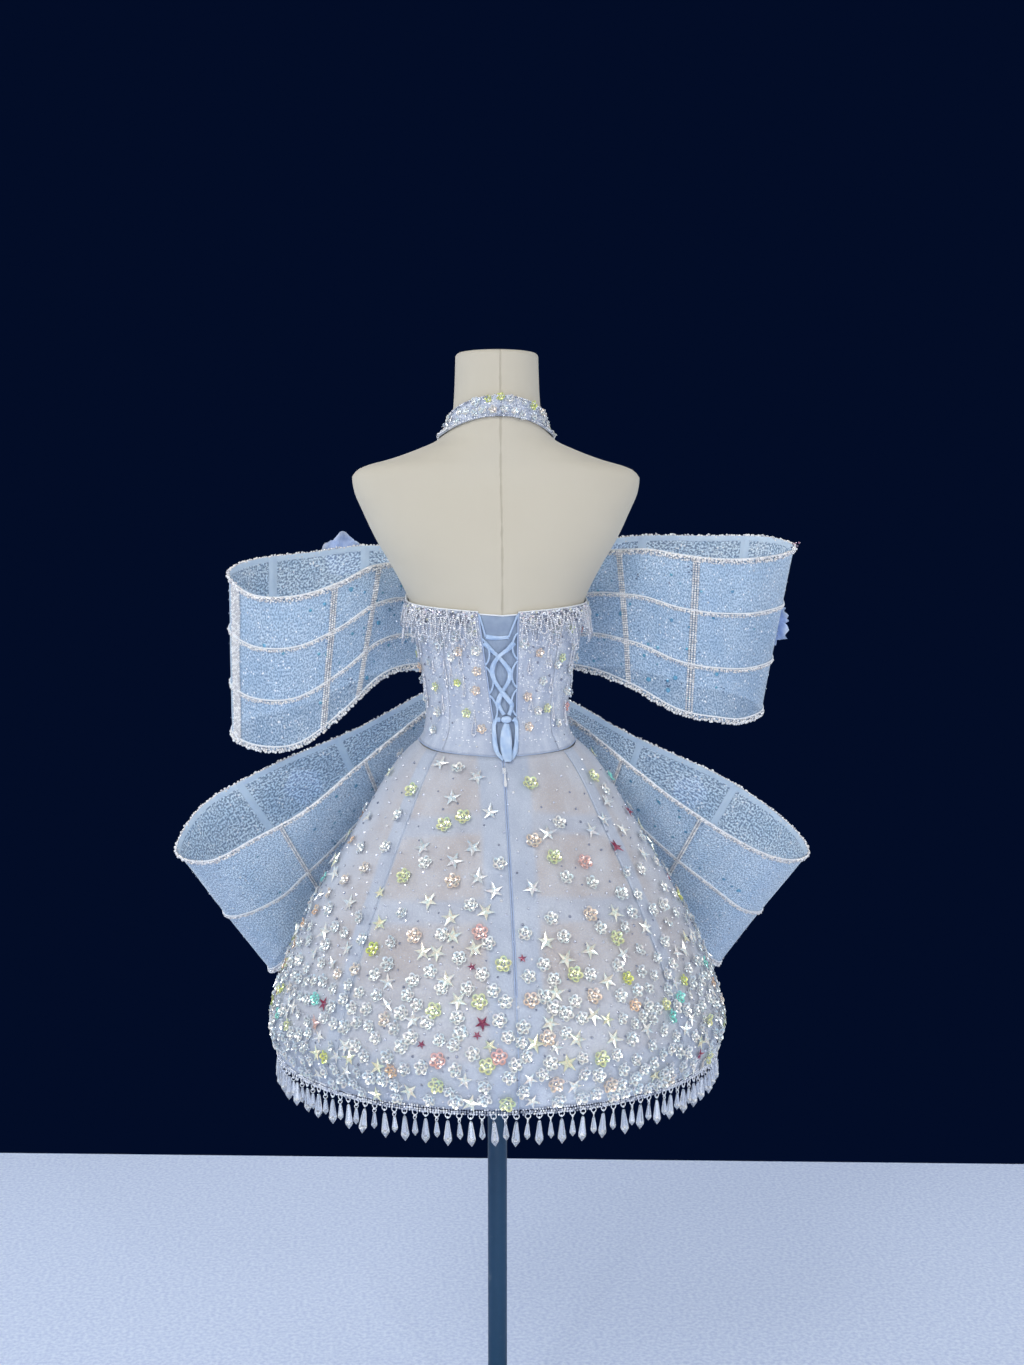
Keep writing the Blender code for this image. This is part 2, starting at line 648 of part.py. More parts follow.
def hem_fringe():
    radius = SKIRT_HEM_RADIUS - SKIRT_WALL / 2
    stations = []
    for k in range(HEM_DROPS):
        for share in (0.0, HEM_ROOT):
            turn = 2 * math.pi * (k + share) / HEM_DROPS
            out = Vector((math.sin(turn), math.cos(turn), 0.0))
            stations.append((out * radius + Vector((0.0, 0.0, HEM_Z - SEAM)), out))
    fringe("crystal_fringe", stations, True, HEM_STRIP_WIDE, HEM_STRIP_TALL,
           lambda k: HEM_DROP_SIZES[k % len(HEM_DROP_SIZES)], "crystal",
           lambda k, root, depth: root + Vector((0.0, 0.0, -depth)))


TOP_FRINGE_INSET = 1.0   # degrees from the edges of the laced opening
TOP_FRINGE_DOWN = 0.001  # from the bodice's top edge down to the strip


def top_fringe():
    start = left_edge(1.0) + TOP_FRINGE_INSET
    stop = 360.0 + right_edge(1.0) - TOP_FRINGE_INSET
    face = BODICE_LIFT + BODICE_WALL
    strip_lift = face + 4 * SEAM + TOP_STRIP_WIDE / 2
    drop_lift = face + TOP_CLEAR
    pitch = (stop - start) / (TOP_DROPS - 1.0 + TOP_ROOT)
    angles = [[start + pitch * (k + share) for share in (0.0, TOP_ROOT)] for k in range(TOP_DROPS)]
    stations = []
    for pair in angles:
        for angle in pair:
            middle = skin_point(angle, top_z(angle) - TOP_FRINGE_DOWN, strip_lift)
            out = middle - skin_point(angle, top_z(angle) - TOP_FRINGE_DOWN, 0.0)
            out = Vector((out.x, out.y, 0.0)).normalized()
            stations.append((middle, out))

    def hang(k, root, depth):
        """Straight down, or over the cloth where that stands further out."""
        angle = sum(angles[k]) / 2
        plumb = root + Vector((0.0, 0.0, -depth))
        over = form_point(angle, plumb.z, drop_lift)
        return over if over.xy.length > plumb.xy.length else plumb

    def size_of(k):
        """The shortest drop hangs above the knot of the bow."""
        at_front = abs(angles[k][0] - FRONT) < KNOT_ANGLE
        return TOP_DROP_SIZES[-1 if at_front else k % len(TOP_DROP_SIZES)]

    fringe("bodice_fringe", stations, False, TOP_STRIP_WIDE, TOP_STRIP_TALL, size_of, "crystal", hang)


# ------------------------------------------------------------------ zip
ZIP_Z = 0.9905           # middle of the slider
SLIDER_TALL = 0.010
SLIDER_WIDE = 0.0050
SLIDER_THICK = 0.0022
SLIDER_BEVEL = 0.0006
PIN_RADIUS = 0.0005
PIN_OUT = 0.0024         # from the slider's face to the middle of its pin
EYE_INNER = 0.0009
EYE_OUTER = 0.0019
PULL_THICK = 0.0010
PULL_LONG = 0.0235
PULL_WIDE = 0.0042
PULL_CLEAR = 0.0006      # from the skirt to the tip of the tab
CHEEK_WIDE = 0.0007
CHEEK_SUNK = 0.0003      # the cheeks grow out of the slider's body
PIN_SIDE_GAP = 0.0003
PIN_DOWN = 0.0045        # from the middle of the slider down to its pin
CHEEK_TALL = 0.0022


def zip_frame():
    """Place of the slider on the skirt's centre back, and its down and outward directions."""
    above = skirt_point(0.0, ZIP_Z + 0.008)
    below = skirt_point(0.0, ZIP_Z - 0.008)
    down = (below - above).normalized()
    out = Vector((0.0, -down.z, down.y))
    if out.y < 0.0:
        out = -out
    return skirt_point(0.0, ZIP_Z), down, out


def placed_box(shape, centre, across, down, out, size):
    """Box in a bmesh, turned to three directions."""
    made = bmesh.ops.create_cube(shape, size=1.0)["verts"]
    for vert in made:
        share = vert.co.copy()
        vert.co = centre + across * share.x * size[0] + down * share.y * size[1] + out * share.z * size[2]
    return made


def zip_slider():
    place, down, out = zip_frame()
    across = Vector((1.0, 0.0, 0.0))
    body = bmesh.new()
    placed_box(body, place + out * (2 * SEAM + SLIDER_THICK / 2), across, down, out,
               (SLIDER_WIDE, SLIDER_TALL, SLIDER_THICK))
    bmesh.ops.bevel(body, geom=body.edges[:], offset=SLIDER_BEVEL, segments=1, affect="EDGES",
                    profile=0.5, material=-1)
    slider = finish("zip_slider", body, "zip_metal")

    pin_at = pin_place()
    for side in (-1, 1):
        cheek = bmesh.new()
        reach = PULL_THICK * 0.5 + PIN_SIDE_GAP + CHEEK_WIDE / 2
        foot = -PIN_OUT - CHEEK_SUNK
        head = CHEEK_TALL / 2
        placed_box(cheek, pin_at + across * side * reach + out * (foot + head) / 2, across, down, out,
                   (CHEEK_WIDE, CHEEK_TALL, head - foot))
        unite(slider, finish("cheek_tool", cheek, "zip_metal"))
    pin = bmesh.new()
    long = PULL_THICK + 2 * PIN_SIDE_GAP + CHEEK_WIDE
    bmesh.ops.create_cone(pin, cap_ends=True, segments=8, radius1=PIN_RADIUS,
                          radius2=PIN_RADIUS, depth=long)
    for vert in pin.verts:
        flat = vert.co.copy()
        vert.co = pin_at + across * flat.z + down * flat.x + out * flat.y
    unite(slider, finish("pin_tool", pin, "zip_metal"))


def unite(target, tool):
    """Join a tool's solid to a target with a Boolean union."""
    tool.hide_render = True
    tool.display_type = "WIRE"
    join = target.modifiers.new("join_" + tool.name, "BOOLEAN")
    join.operation = "UNION"
    join.object = tool


def pin_place():
    place, down, out = zip_frame()
    return place + down * PIN_DOWN + out * (2 * SEAM + SLIDER_THICK + PIN_OUT)


def zip_pull():
    """Teardrop tab with an eye round the slider's pin, lying on the skirt."""
    place, down, out = zip_frame()
    across = Vector((1.0, 0.0, 0.0))
    at = pin_place()
    shape = bmesh.new()
    corners = 10
    outer = [[], []]
    inner = [[], []]
    for side, layer in ((-0.5, 0), (0.5, 1)):
        for k in range(corners):
            turn = 2 * math.pi * k / corners
            ring = down * math.cos(turn) + out * math.sin(turn)
            shift = across * PULL_THICK * side
            outer[layer].append(shape.verts.new(at + ring * EYE_OUTER + shift))
            inner[layer].append(shape.verts.new(at + ring * EYE_INNER + shift))
    for k in range(corners):
        after = (k + 1) % corners
        shape.faces.new((inner[0][k], inner[0][after], inner[1][after], inner[1][k]))
        for layer in (0, 1):
            shape.faces.new((outer[layer][k], outer[layer][after], inner[layer][after], inner[layer][k]))
        if k not in (0, corners - 1):
            shape.faces.new((outer[0][k], outer[0][after], outer[1][after], outer[1][k]))
    # The tab grows from the two lowest faces of the eye and turns flat to the skirt.
    root = [outer[0][1], outer[0][0], outer[0][-1], outer[1][-1], outer[1][0], outer[1][1]]
    upper = root
    levels = ((0.0040, 0.0008, 0.0007), (0.0120, 0.0014, 0.0006), (0.0190, PULL_WIDE / 2, 0.0006),
              (0.0225, PULL_WIDE / 2 * 0.8, 0.0006), (PULL_LONG, 0.0010, 0.0005))
    lean = (SLIDER_THICK + PIN_OUT - PULL_CLEAR) / PULL_LONG
    for depth, half_wide, half_thick in levels:
        centre = at + down * depth - out * lean * depth
        ring = [centre + across * sx * half_wide + out * so * half_thick
                for sx, so in ((-1, 1), (-1, 0), (-1, -1), (1, -1), (1, 0), (1, 1))]
        lower = [shape.verts.new(point) for point in ring]
        for k in range(6):
            after = (k + 1) % 6
            shape.faces.new((upper[k], upper[after], lower[after], lower[k]))
        upper = lower
    shape.faces.new(upper)
    finish("zip_pull", shape, "zip_metal", 30.0)


# ------------------------------------------------------------------ bow
# A loop is a stiff band that leaves the knot along its front, folds at its outer end and
# comes back behind.  Each row gives the band's upper and lower edge at one place along it.
LoopRow = namedtuple("LoopRow", "x_top y_top z_top x_low y_low z_low")
KNOT_SIDE = 0.0300       # x where the bands start
UPPER_LEFT = [
    LoopRow(KNOT_SIDE, -0.143, 1.188, KNOT_SIDE, -0.145, 1.108),
    LoopRow(0.090, -0.152, 1.262, 0.090, -0.172, 1.104),
    LoopRow(0.160, -0.155, 1.287, 0.166, -0.190, 1.098),
    LoopRow(0.262, -0.166, 1.277, 0.269, -0.208, 1.053),
    LoopRow(0.338, -0.128, 1.267, 0.340, -0.178, 1.037),
    LoopRow(0.367, -0.062, 1.249, 0.369, -0.108, 1.021),
    LoopRow(0.330, -0.002, 1.222, 0.335, -0.050, 1.005),
    LoopRow(0.272, 0.008, 1.221, 0.276, -0.042, 1.007),
    LoopRow(0.215, -0.010, 1.239, 0.217, -0.058, 1.048),
    LoopRow(0.165, -0.044, 1.262, 0.157, -0.085, 1.100),
    LoopRow(0.105, -0.098, 1.256, 0.105, -0.112, 1.112),
    LoopRow(KNOT_SIDE, -0.128, 1.184, KNOT_SIDE, -0.130, 1.110),
]
UPPER_RIGHT = [
    LoopRow(KNOT_SIDE, -0.143, 1.188, KNOT_SIDE, -0.145, 1.108),
    LoopRow(0.110, -0.152, 1.277, 0.110, -0.172, 1.108),
    LoopRow(0.206, -0.155, 1.300, 0.216, -0.188, 1.104),
    LoopRow(0.323, -0.166, 1.302, 0.321, -0.208, 1.076),
    LoopRow(0.410, -0.122, 1.300, 0.389, -0.170, 1.060),
    LoopRow(0.432, -0.064, 1.285, 0.399, -0.112, 1.043),
    LoopRow(0.378, -0.008, 1.273, 0.358, -0.060, 1.034),
    LoopRow(0.313, 0.006, 1.270, 0.323, -0.045, 1.037),
    LoopRow(0.258, -0.004, 1.276, 0.264, -0.052, 1.049),
    LoopRow(0.200, -0.034, 1.284, 0.200, -0.074, 1.084),
    LoopRow(0.120, -0.094, 1.268, 0.130, -0.106, 1.108),
    LoopRow(KNOT_SIDE, -0.128, 1.184, KNOT_SIDE, -0.130, 1.110),
]
LOWER_LEFT = [
    LoopRow(KNOT_SIDE, -0.143, 1.100, KNOT_SIDE, -0.147, 0.994),
    LoopRow(0.092, -0.165, 1.072, 0.085, -0.190, 0.940),
    LoopRow(0.193, -0.185, 1.016, 0.165, -0.245, 0.832),
    LoopRow(0.316, -0.190, 0.963, 0.250, -0.285, 0.737),
    LoopRow(0.415, -0.160, 0.911, 0.306, -0.275, 0.672),
    LoopRow(0.449, -0.095, 0.856, 0.326, -0.226, 0.645),
    LoopRow(0.398, -0.032, 0.854, 0.302, -0.184, 0.668),
    LoopRow(0.336, -0.012, 0.887, 0.258, -0.174, 0.738),
    LoopRow(0.265, -0.013, 0.926, 0.210, -0.176, 0.800),
    LoopRow(0.196, -0.040, 0.980, 0.150, -0.174, 0.872),
    LoopRow(0.112, -0.098, 1.040, 0.086, -0.146, 0.950),
    LoopRow(KNOT_SIDE, -0.128, 1.096, KNOT_SIDE, -0.132, 0.998),
]
LOWER_RIGHT = [
    LoopRow(KNOT_SIDE, -0.143, 1.100, KNOT_SIDE, -0.147, 0.994),
    LoopRow(0.126, -0.165, 1.055, 0.095, -0.190, 0.940),
    LoopRow(0.219, -0.185, 1.002, 0.180, -0.245, 0.826),
    LoopRow(0.363, -0.190, 0.934, 0.285, -0.288, 0.724),
    LoopRow(0.448, -0.150, 0.874, 0.350, -0.272, 0.660),
    LoopRow(0.467, -0.092, 0.838, 0.364, -0.220, 0.640),
    LoopRow(0.416, -0.034, 0.841, 0.334, -0.180, 0.662),
    LoopRow(0.352, -0.012, 0.869, 0.280, -0.172, 0.724),
    LoopRow(0.263, -0.012, 0.926, 0.215, -0.174, 0.796),
    LoopRow(0.208, -0.034, 0.968, 0.160, -0.172, 0.862),
    LoopRow(0.125, -0.096, 1.034, 0.096, -0.146, 0.940),
    LoopRow(KNOT_SIDE, -0.128, 1.096, KNOT_SIDE, -0.132, 0.998),
]
# Where the beaded strips cross each band, in rows along it.
# A twisted band needs as many columns inside as outside.
LoopPlan = namedtuple("LoopPlan", "name side rows lines strips twisted")
LOOPS = [
    LoopPlan("bow_loop_upper_left", 1, UPPER_LEFT, (1 / 3, 2 / 3), (2.2, 3.6, 7.74, 8.73), False),
    LoopPlan("bow_loop_upper_right", -1, UPPER_RIGHT, (1 / 3, 2 / 3), (2.2, 3.6, 7.7, 9.17), False),
    LoopPlan("bow_loop_lower_left", 1, LOWER_LEFT, (0.57,), (2.1, 3.35, 7.45, 9.1), True),
    LoopPlan("bow_loop_lower_right", -1, LOWER_RIGHT, (1 / 2,), (2.1, 3.15, 7.55, 9.2), True),
]
BAND_STEPS = 18
PLAIN_SHARES = (0.0, 0.25, 0.5, 0.75, 1.0)
CORD_SLOPE = 1.3         # foot of an edge cord, in widths of the cord
EDGE_WIDE = 0.0050       # beaded cord along each edge of a band
EDGE_RISE = 0.0020
LINE_HALF = 0.0032       # beaded line along a band
LINE_RISE = 0.0018
STRIP_HALF = 0.0050      # double row of stones across a band
STRIP_RISE = 0.0012
STRIP_CLEAR = 0.12       # rows between a crossing strip and the next section of its band
NEAR = 0.05              # rows either way that give a band's direction


def catmull(values, at):
    """Smooth curve through evenly spaced values."""
    left = min(int(at), len(values) - 2)
    s = at - left
    slopes = [(values[min(k + 1, len(values) - 1)] - values[max(k - 1, 0)])
              / (min(k + 1, len(values) - 1) - max(k - 1, 0)) for k in (left, left + 1)]
    return ((2 * s ** 3 - 3 * s ** 2 + 1) * values[left] + (s ** 3 - 2 * s ** 2 + s) * slopes[0]
            + (3 * s ** 2 - 2 * s ** 3) * values[left + 1] + (s ** 3 - s ** 2) * slopes[1])


def band_edges(plan, at):
    """Upper and lower edge of a band at a place along its rows."""
    numbers = [catmull([row[k] for row in plan.rows], at) for k in range(6)]
    top = Vector((plan.side * numbers[0], numbers[1], numbers[2]))
    low = Vector((plan.side * numbers[3], numbers[4], numbers[5]))
    return top, low


def band_point(plan, at, share, lift):
    """Point on a band: at along its rows, share from upper to lower edge, lift out of its face."""
    last = len(plan.rows) - 1
    top, low = band_edges(plan, at)
    top_after, low_after = band_edges(plan, min(at + NEAR, last))
    top_before, low_before = band_edges(plan, max(at - NEAR, 0.0))
    along = (top_after - top_before).lerp(low_after - low_before, share)
    out = (low - top).cross(along).normalized() * plan.side
    if at in (0.0, float(last)):
        out = Vector((0.0, out.y, out.z)).normalized()
    return top.lerp(low, share) + out * lift


def band_places(plan):
    """Places along a band: even steps, with the foot, ridge and foot of each crossing strip."""
    last = len(plan.rows) - 1
    marks = []
    for strip in plan.strips:
        here = band_edges(plan, strip)[0]
        pace = (band_edges(plan, strip + 0.1)[0] - here).length / 0.1
        half = STRIP_HALF / pace
        marks.append((strip - half, strip, strip + half))
    places = []
    evenly = [last * k / BAND_STEPS for k in range(BAND_STEPS + 1)]
    evenly += [(evenly[0] + evenly[1]) / 2, (evenly[-1] + evenly[-2]) / 2]
    for at in evenly:
        if all(at < mark[0] - STRIP_CLEAR or at > mark[2] + STRIP_CLEAR for mark in marks):
            places.append((at, 0.0))
    for mark in marks:
        places += [(mark[0], 0.0), (mark[1], STRIP_RISE), (mark[2], 0.0)]
    return sorted(places)


def band_profile(plan, wide):
    """Shares across a band with the rise of its edge cords and beaded lines."""
    foot = EDGE_WIDE * CORD_SLOPE / wide
    cord = EDGE_WIDE / wide
    profile = [(0.0, EDGE_RISE), (cord, EDGE_RISE), (foot, 0.0)]
    for line in plan.lines:
        profile += [(line - LINE_HALF / wide, 0.0), (line, LINE_RISE), (line + LINE_HALF / wide, 0.0)]
    profile += [(1.0 - foot, 0.0), (1.0 - cord, EDGE_RISE), (1.0, EDGE_RISE)]
    return profile


def bow_loops():
    bands = []
    for plan in LOOPS:
        outer = []
        inner = []
        for at, rise in band_places(plan):
            top, low = band_edges(plan, at)
            profile = band_profile(plan, (low - top).length)
            outer.append([band_point(plan, at, share, BOW_WALL + max(rise, lift))
                          for share, lift in profile])
            plain = [share for share, lift in profile] if plan.twisted else PLAIN_SHARES
            inner.append([band_point(plan, at, share, 0.0) for share in plain])
        bands.append(wall(plan.name, outer, inner, "bow_mesh"))
    return bands


KNOT_BACK_GAP = 0.0004
KNOT_TAPER = 0.004       # how much narrower the knot is at its two ends
# The rear of the knot is a depth of its own under the bust, and rests on the bodice above.
KnotRow = namedtuple("KnotRow", "z front rear")
KNOT_ROWS = [
    KnotRow(0.986, -0.1540, -0.1300), KnotRow(0.992, -0.1570, -0.1265),
    KnotRow(1.040, -0.1610, -0.1180), KnotRow(1.090, -0.1620, -0.1140),
    KnotRow(1.145, -0.1610, None), KnotRow(1.188, -0.1570, None), KnotRow(1.194, -0.1540, None),
]
# Outline of the knot's rounded front: share of the half width, and depth behind its middle.
KNOT_FRONT = ((1.0, 0.009), (0.72, 0.002), (0.0, 0.0), (-0.72, 0.002), (-1.0, 0.009))


def bow_knot():
    """Wrap at the middle of the bow, resting on the bodice at the bust."""
    half = KNOT_SIDE - SEAM * 1.3
    bust_face = [form_point(FRONT, z, BODICE_LIFT + BODICE_WALL).y for z in (1.16, 1.175, 1.19, 1.20)]
    back = min(bust_face) - KNOT_BACK_GAP
    loops = []
    for row in KNOT_ROWS:
        side = half - KNOT_TAPER if row in (KNOT_ROWS[0], KNOT_ROWS[-1]) else half
        rear = back if row.rear is None else min(row.rear, back)
        loop = [Vector((-side, rear, row.z)), Vector((side, rear, row.z))]
        loop += [Vector((side * share, row.front + behind, row.z)) for share, behind in KNOT_FRONT]
        loops.append(loop)
    rings("bow_knot", loops, "bow_mesh")


FlowerRow = namedtuple("FlowerRow", "name plan at share radius")
FLOWERS = [
    FlowerRow("bow_flower_1", 0, 2.50, 0.12, 0.034),
    FlowerRow("bow_flower_2", 1, 1.70, 0.12, 0.032),
    FlowerRow("bow_flower_3", 1, 4.45, 0.50, 0.034),
    FlowerRow("bow_flower_4", 2, 2.75, 0.24, 0.034),
    FlowerRow("bow_flower_5", 3, 2.75, 0.22, 0.032),
    FlowerRow("bow_flower_6", 0, 1.20, 0.50, 0.034),
    FlowerRow("bow_flower_7", 1, 3.05, 0.50, 0.034),
]
PETALS = 5
PETAL_WALL = 0.0012
PETAL_CUP = 0.012
PETAL_WAIST = 0.58       # where two petals meet, as a share of the radius
RAY_START = 0.030        # far enough over a band to look back at its face
FLOWER_GAP = 0.0004      # from the face of the band to the flower's heart


def flower(row, tree):
    """Organza flower sewn to the outside of a band: five petals, cupped away from it."""
    plan = LOOPS[row.plan]
    over = band_point(plan, row.at, row.share, RAY_START)
    out = (over - band_point(plan, row.at, row.share, 0.0)).normalized()
    face = tree.ray_cast(over, -out)[0]
    foot = face + out * FLOWER_GAP
    up = Vector((0.0, 0.0, 1.0))
    across = up.cross(out).normalized()
    up = out.cross(across)
    shape = bmesh.new()
    layers = []
    for lift in (0.0, PETAL_WALL):
        heart = shape.verts.new(foot + out * lift)
        rim = []
        for k in range(2 * PETALS):
            turn = math.pi * k / PETALS
            far = row.radius if k % 2 == 0 else row.radius * PETAL_WAIST
            cup = PETAL_CUP * far / row.radius
            aside = across * math.sin(turn) + up * math.cos(turn)
            rim.append(shape.verts.new(foot + aside * far + out * (cup + lift)))
        layers.append((heart, rim))
    for heart, rim in layers:
        for k in range(2 * PETALS):
            shape.faces.new((heart, rim[k], rim[(k + 1) % (2 * PETALS)]))
    for k in range(2 * PETALS):
        after = (k + 1) % (2 * PETALS)
        shape.faces.new((layers[0][1][k], layers[0][1][after], layers[1][1][after], layers[1][1][k]))
    finish(row.name, shape, "petal_cloth", 30.0)


def flowers(bands):
    trees = []
    for band in bands:
        mesh = band.data
        trees.append(BVHTree.FromPolygons([vert.co for vert in mesh.vertices],
                                          [tuple(face.vertices) for face in mesh.polygons]))
    for row in FLOWERS:
        flower(row, trees[row.plan])


# ------------------------------------------------------------------ the whole object
stand()
form()
modesty_panel()
bodice()
lacing()
collar()
straps()
skirt()
hem_fringe()
top_fringe()
zip_slider()
zip_pull()
flowers(bow_loops())
bow_knot()
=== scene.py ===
# Mini prom dress with a big bow in front, on a linen dress form that stands on a pole.
import itertools
import json
import math
import random
from bisect import bisect_right

import bmesh
import bpy
from mathutils import Matrix, Vector, noise

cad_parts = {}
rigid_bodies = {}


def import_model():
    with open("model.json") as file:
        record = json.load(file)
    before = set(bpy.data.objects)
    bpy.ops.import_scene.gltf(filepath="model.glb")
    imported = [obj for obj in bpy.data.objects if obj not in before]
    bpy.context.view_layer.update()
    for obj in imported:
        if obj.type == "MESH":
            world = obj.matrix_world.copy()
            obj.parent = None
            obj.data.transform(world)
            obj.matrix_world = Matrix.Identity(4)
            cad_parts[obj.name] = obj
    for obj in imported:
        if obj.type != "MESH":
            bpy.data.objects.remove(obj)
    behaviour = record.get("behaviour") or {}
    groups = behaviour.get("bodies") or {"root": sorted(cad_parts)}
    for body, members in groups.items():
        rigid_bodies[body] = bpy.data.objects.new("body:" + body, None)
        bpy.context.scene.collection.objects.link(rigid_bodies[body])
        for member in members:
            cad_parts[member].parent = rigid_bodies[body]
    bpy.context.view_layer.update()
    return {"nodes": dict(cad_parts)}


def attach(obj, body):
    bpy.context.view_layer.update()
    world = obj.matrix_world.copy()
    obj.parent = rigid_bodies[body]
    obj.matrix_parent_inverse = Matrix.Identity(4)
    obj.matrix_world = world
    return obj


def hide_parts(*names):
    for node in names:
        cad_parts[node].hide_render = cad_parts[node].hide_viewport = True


for old in list(bpy.data.objects):
    bpy.data.objects.remove(old, do_unlink=True)

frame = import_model()
dice = random.Random(11)
up = Vector((0.0, 0.0, 1.0))
print("frame loaded:", len(frame["nodes"]), "nodes")


# ---- small tools for materials: each finds its node tree by a socket that it is given
def feed(tree, socket, value):
    if isinstance(value, bpy.types.NodeSocket):
        tree.links.new(value, socket)
    else:
        socket.default_value = (*value, 1.0) if socket.type == "RGBA" else value


def addNode(tree, kind, inputs=None, **settings):
    made = tree.nodes.new("ShaderNode" + kind)
    for key, value in settings.items():
        setattr(made, key, value)
    for key, value in (inputs or {}).items():
        feed(tree, made.inputs[key], value)
    return made


def newFinish(key, name, look):
    finish = finishes[key] = bpy.data.materials.new(name)
    finish.use_nodes = True
    for socket, value in look.items():
        feed(finish.node_tree, finish.node_tree.nodes["Principled BSDF"].inputs[socket], value)
    return finish.node_tree


def treeOf(*values):
    return next(value.id_data for value in values if isinstance(value, bpy.types.NodeSocket))


def plug(value, name):
    feed(value.id_data, value.id_data.nodes["Principled BSDF"].inputs[name], value)


def place(tree, kind="UV"):
    return addNode(tree, "TexCoord").outputs[kind]


def painted(tree, name="tint"):
    return addNode(tree, "Attribute", attribute_name=name).outputs["Color"]


def apart(value, kind="Color"):
    return addNode(value.id_data, "Separate" + kind, {0: value}).outputs


def scaled(where, scale):
    return addNode(where.id_data, "Mapping", {"Vector": where, "Scale": scale}).outputs[0]


def cloudy(where, scale, detail=2.0):
    return addNode(where.id_data, "TexNoise", {"Vector": where, "Scale": scale, "Detail": detail}).outputs["Fac"]


def threads(where, period, direction):
    # one set of threads, as fine bands across the cloth
    inputs = {"Vector": where, "Scale": 0.314 / period, "Distortion": 0.6, "Detail Scale": 2.0}
    return addNode(where.id_data, "TexWave", inputs, bands_direction=direction).outputs["Fac"]


def worked(kind, first, second=0.0):
    return addNode(treeOf(first, second), "Math", {0: first, 1: second}, operation=kind).outputs[0]


def times(first, second):
    return worked("MULTIPLY", first, second)


def plus(first, second):
    return worked("ADD", first, second)


def netting(flat, period):
    return times(threads(flat, period, "X"), threads(flat, period, "Y"))


def between(value, low, high, start=0.0, stop=1.0):
    inputs = {"Value": value, "From Min": low, "From Max": high, "To Min": start, "To Max": stop}
    return addNode(value.id_data, "MapRange", inputs).outputs["Result"]


def mixed(amount, first, second, blend="MIX"):
    inputs = {0: amount, 6: first, 7: second}
    return addNode(treeOf(*inputs.values()), "Mix", inputs, data_type="RGBA", blend_type=blend).outputs[2]


def raised(height, strength, distance=0.0005):
    inputs = {"Height": height, "Strength": strength, "Distance": distance}
    plug(addNode(height.id_data, "Bump", inputs).outputs["Normal"], "Normal")


# ---- finishes
finishes = {}
linenLook = {"Base Color": (0.60, 0.56, 0.46), "Roughness": 0.86, "Sheen Weight": 0.15, "Sheen Roughness": 0.5}
linenTones = {"light": (0.64, 0.60, 0.505), "deep": (0.555, 0.51, 0.415), "seam": (0.42, 0.38, 0.30)}


def linenCloth():
    tree = newFinish("linen", "linenCloth", linenLook)
    where = place(tree, "Object")
    flat = place(tree)
    weave = times(threads(flat, 0.0011, "X"), threads(flat, 0.0012, "Y"))
    tone = mixed(cloudy(where, 5.0), linenTones["deep"], linenTones["light"])
    tone = mixed(between(weave, 0.0, 1.0, 0.10, 0.0), tone, linenTones["seam"])
    # the sewn seam down the middle of the back and of the front
    wander = times(between(cloudy(where, 60.0), 0.3, 0.7, -1.0, 1.0), 0.0007)
    away = plus(worked("ABSOLUTE", apart(where, "XYZ")[0]), wander)
    groove = between(away, 0.0004, 0.0019, 1.0, 0.0)
    welt = between(away, 0.0016, 0.0075, 1.0, 0.0)
    plug(mixed(times(groove, 0.75), tone, linenTones["seam"]), "Base Color")
    height = plus(times(weave, 0.22), times(cloudy(where, 260.0), 0.25))
    height = plus(height, times(times(cloudy(where, 95.0, 1.0), welt), 2.6))
    raised(worked("SUBTRACT", height, times(groove, 1.6)), 0.55, 0.0006)


steelTones = {"deep": (0.003, 0.040, 0.095), "light": (0.006, 0.058, 0.134), "scuff": (0.13, 0.17, 0.20)}


def paintedSteel():
    tree = newFinish("steel", "paintedSteel", {"Roughness": 0.5, "Metallic": 0.05, "Coat Weight": 0.1,
                                               "Coat Roughness": 0.4})
    where = place(tree, "Object")
    tone = mixed(cloudy(scaled(where, (1.0, 1.0, 0.12)), 60.0), steelTones["deep"], steelTones["light"])
    scuffs = between(cloudy(where, 34.0, 5.0), 0.66, 0.74)
    plug(mixed(times(scuffs, 0.4), tone, steelTones["scuff"]), "Base Color")
    plug(between(cloudy(where, 90.0), 0.3, 0.7, 0.44, 0.60), "Roughness")
    raised(cloudy(where, 700.0), 0.05, 0.0003)


# red channel: blue bands of doubled cloth, green: the form showing through, blue: pale turned-up strip at the hem,
# painted lighter as a highlight
skirtTones = {"base": (0.63, 0.675, 0.755), "band": (0.465, 0.54, 0.665), "skin": (0.545, 0.49, 0.46),
              "strip": (0.76, 0.82, 0.90), "glint": (0.86, 0.90, 0.98), "deep": (0.22, 0.26, 0.40)}


def skirtOrganza():
    tree = newFinish("skirt", "skirtOrganza", {
        "Roughness": 0.5, "Sheen Weight": 0.35, "Sheen Roughness": 0.35, "Sheen Tint": (0.80, 0.88, 1.0),
        "Specular IOR Level": 0.35})
    flat = place(tree)
    parts = apart(painted(tree, "layers"))
    soft = cloudy(flat, 18.0, 3.0)
    tone = mixed(parts[1], skirtTones["base"], skirtTones["skin"])
    tone = mixed(parts[0], tone, skirtTones["band"])
    # the blue channel paints the turned-up strip lighter as a highlight
    tone = mixed(parts[2], tone, skirtTones["strip"])
    tone = mixed(between(soft, 0.35, 0.7, 0.0, 0.40), tone, skirtTones["strip"])
    tone = mixed(between(cloudy(flat, 620.0), 0.38, 0.62, 0.0, 0.42), tone, skirtTones["deep"])
    sparks = between(cloudy(flat, 620.0, 0.0), 0.70, 0.76)
    plug(mixed(times(sparks, 0.7), tone, skirtTones["glint"]), "Base Color")
    raised(plus(netting(flat, 0.0009), times(soft, 2.0)), 0.35)


# bead is the white of painted highlights on the small beads; shade darkens specks of them and the cloth beside the
# lacing
tulleTones = {"base": (0.50, 0.565, 0.69), "light": (0.74, 0.79, 0.87), "thread": (0.32, 0.38, 0.54),
              "bead": (0.97, 0.98, 1.0), "shade": (0.22, 0.26, 0.38)}


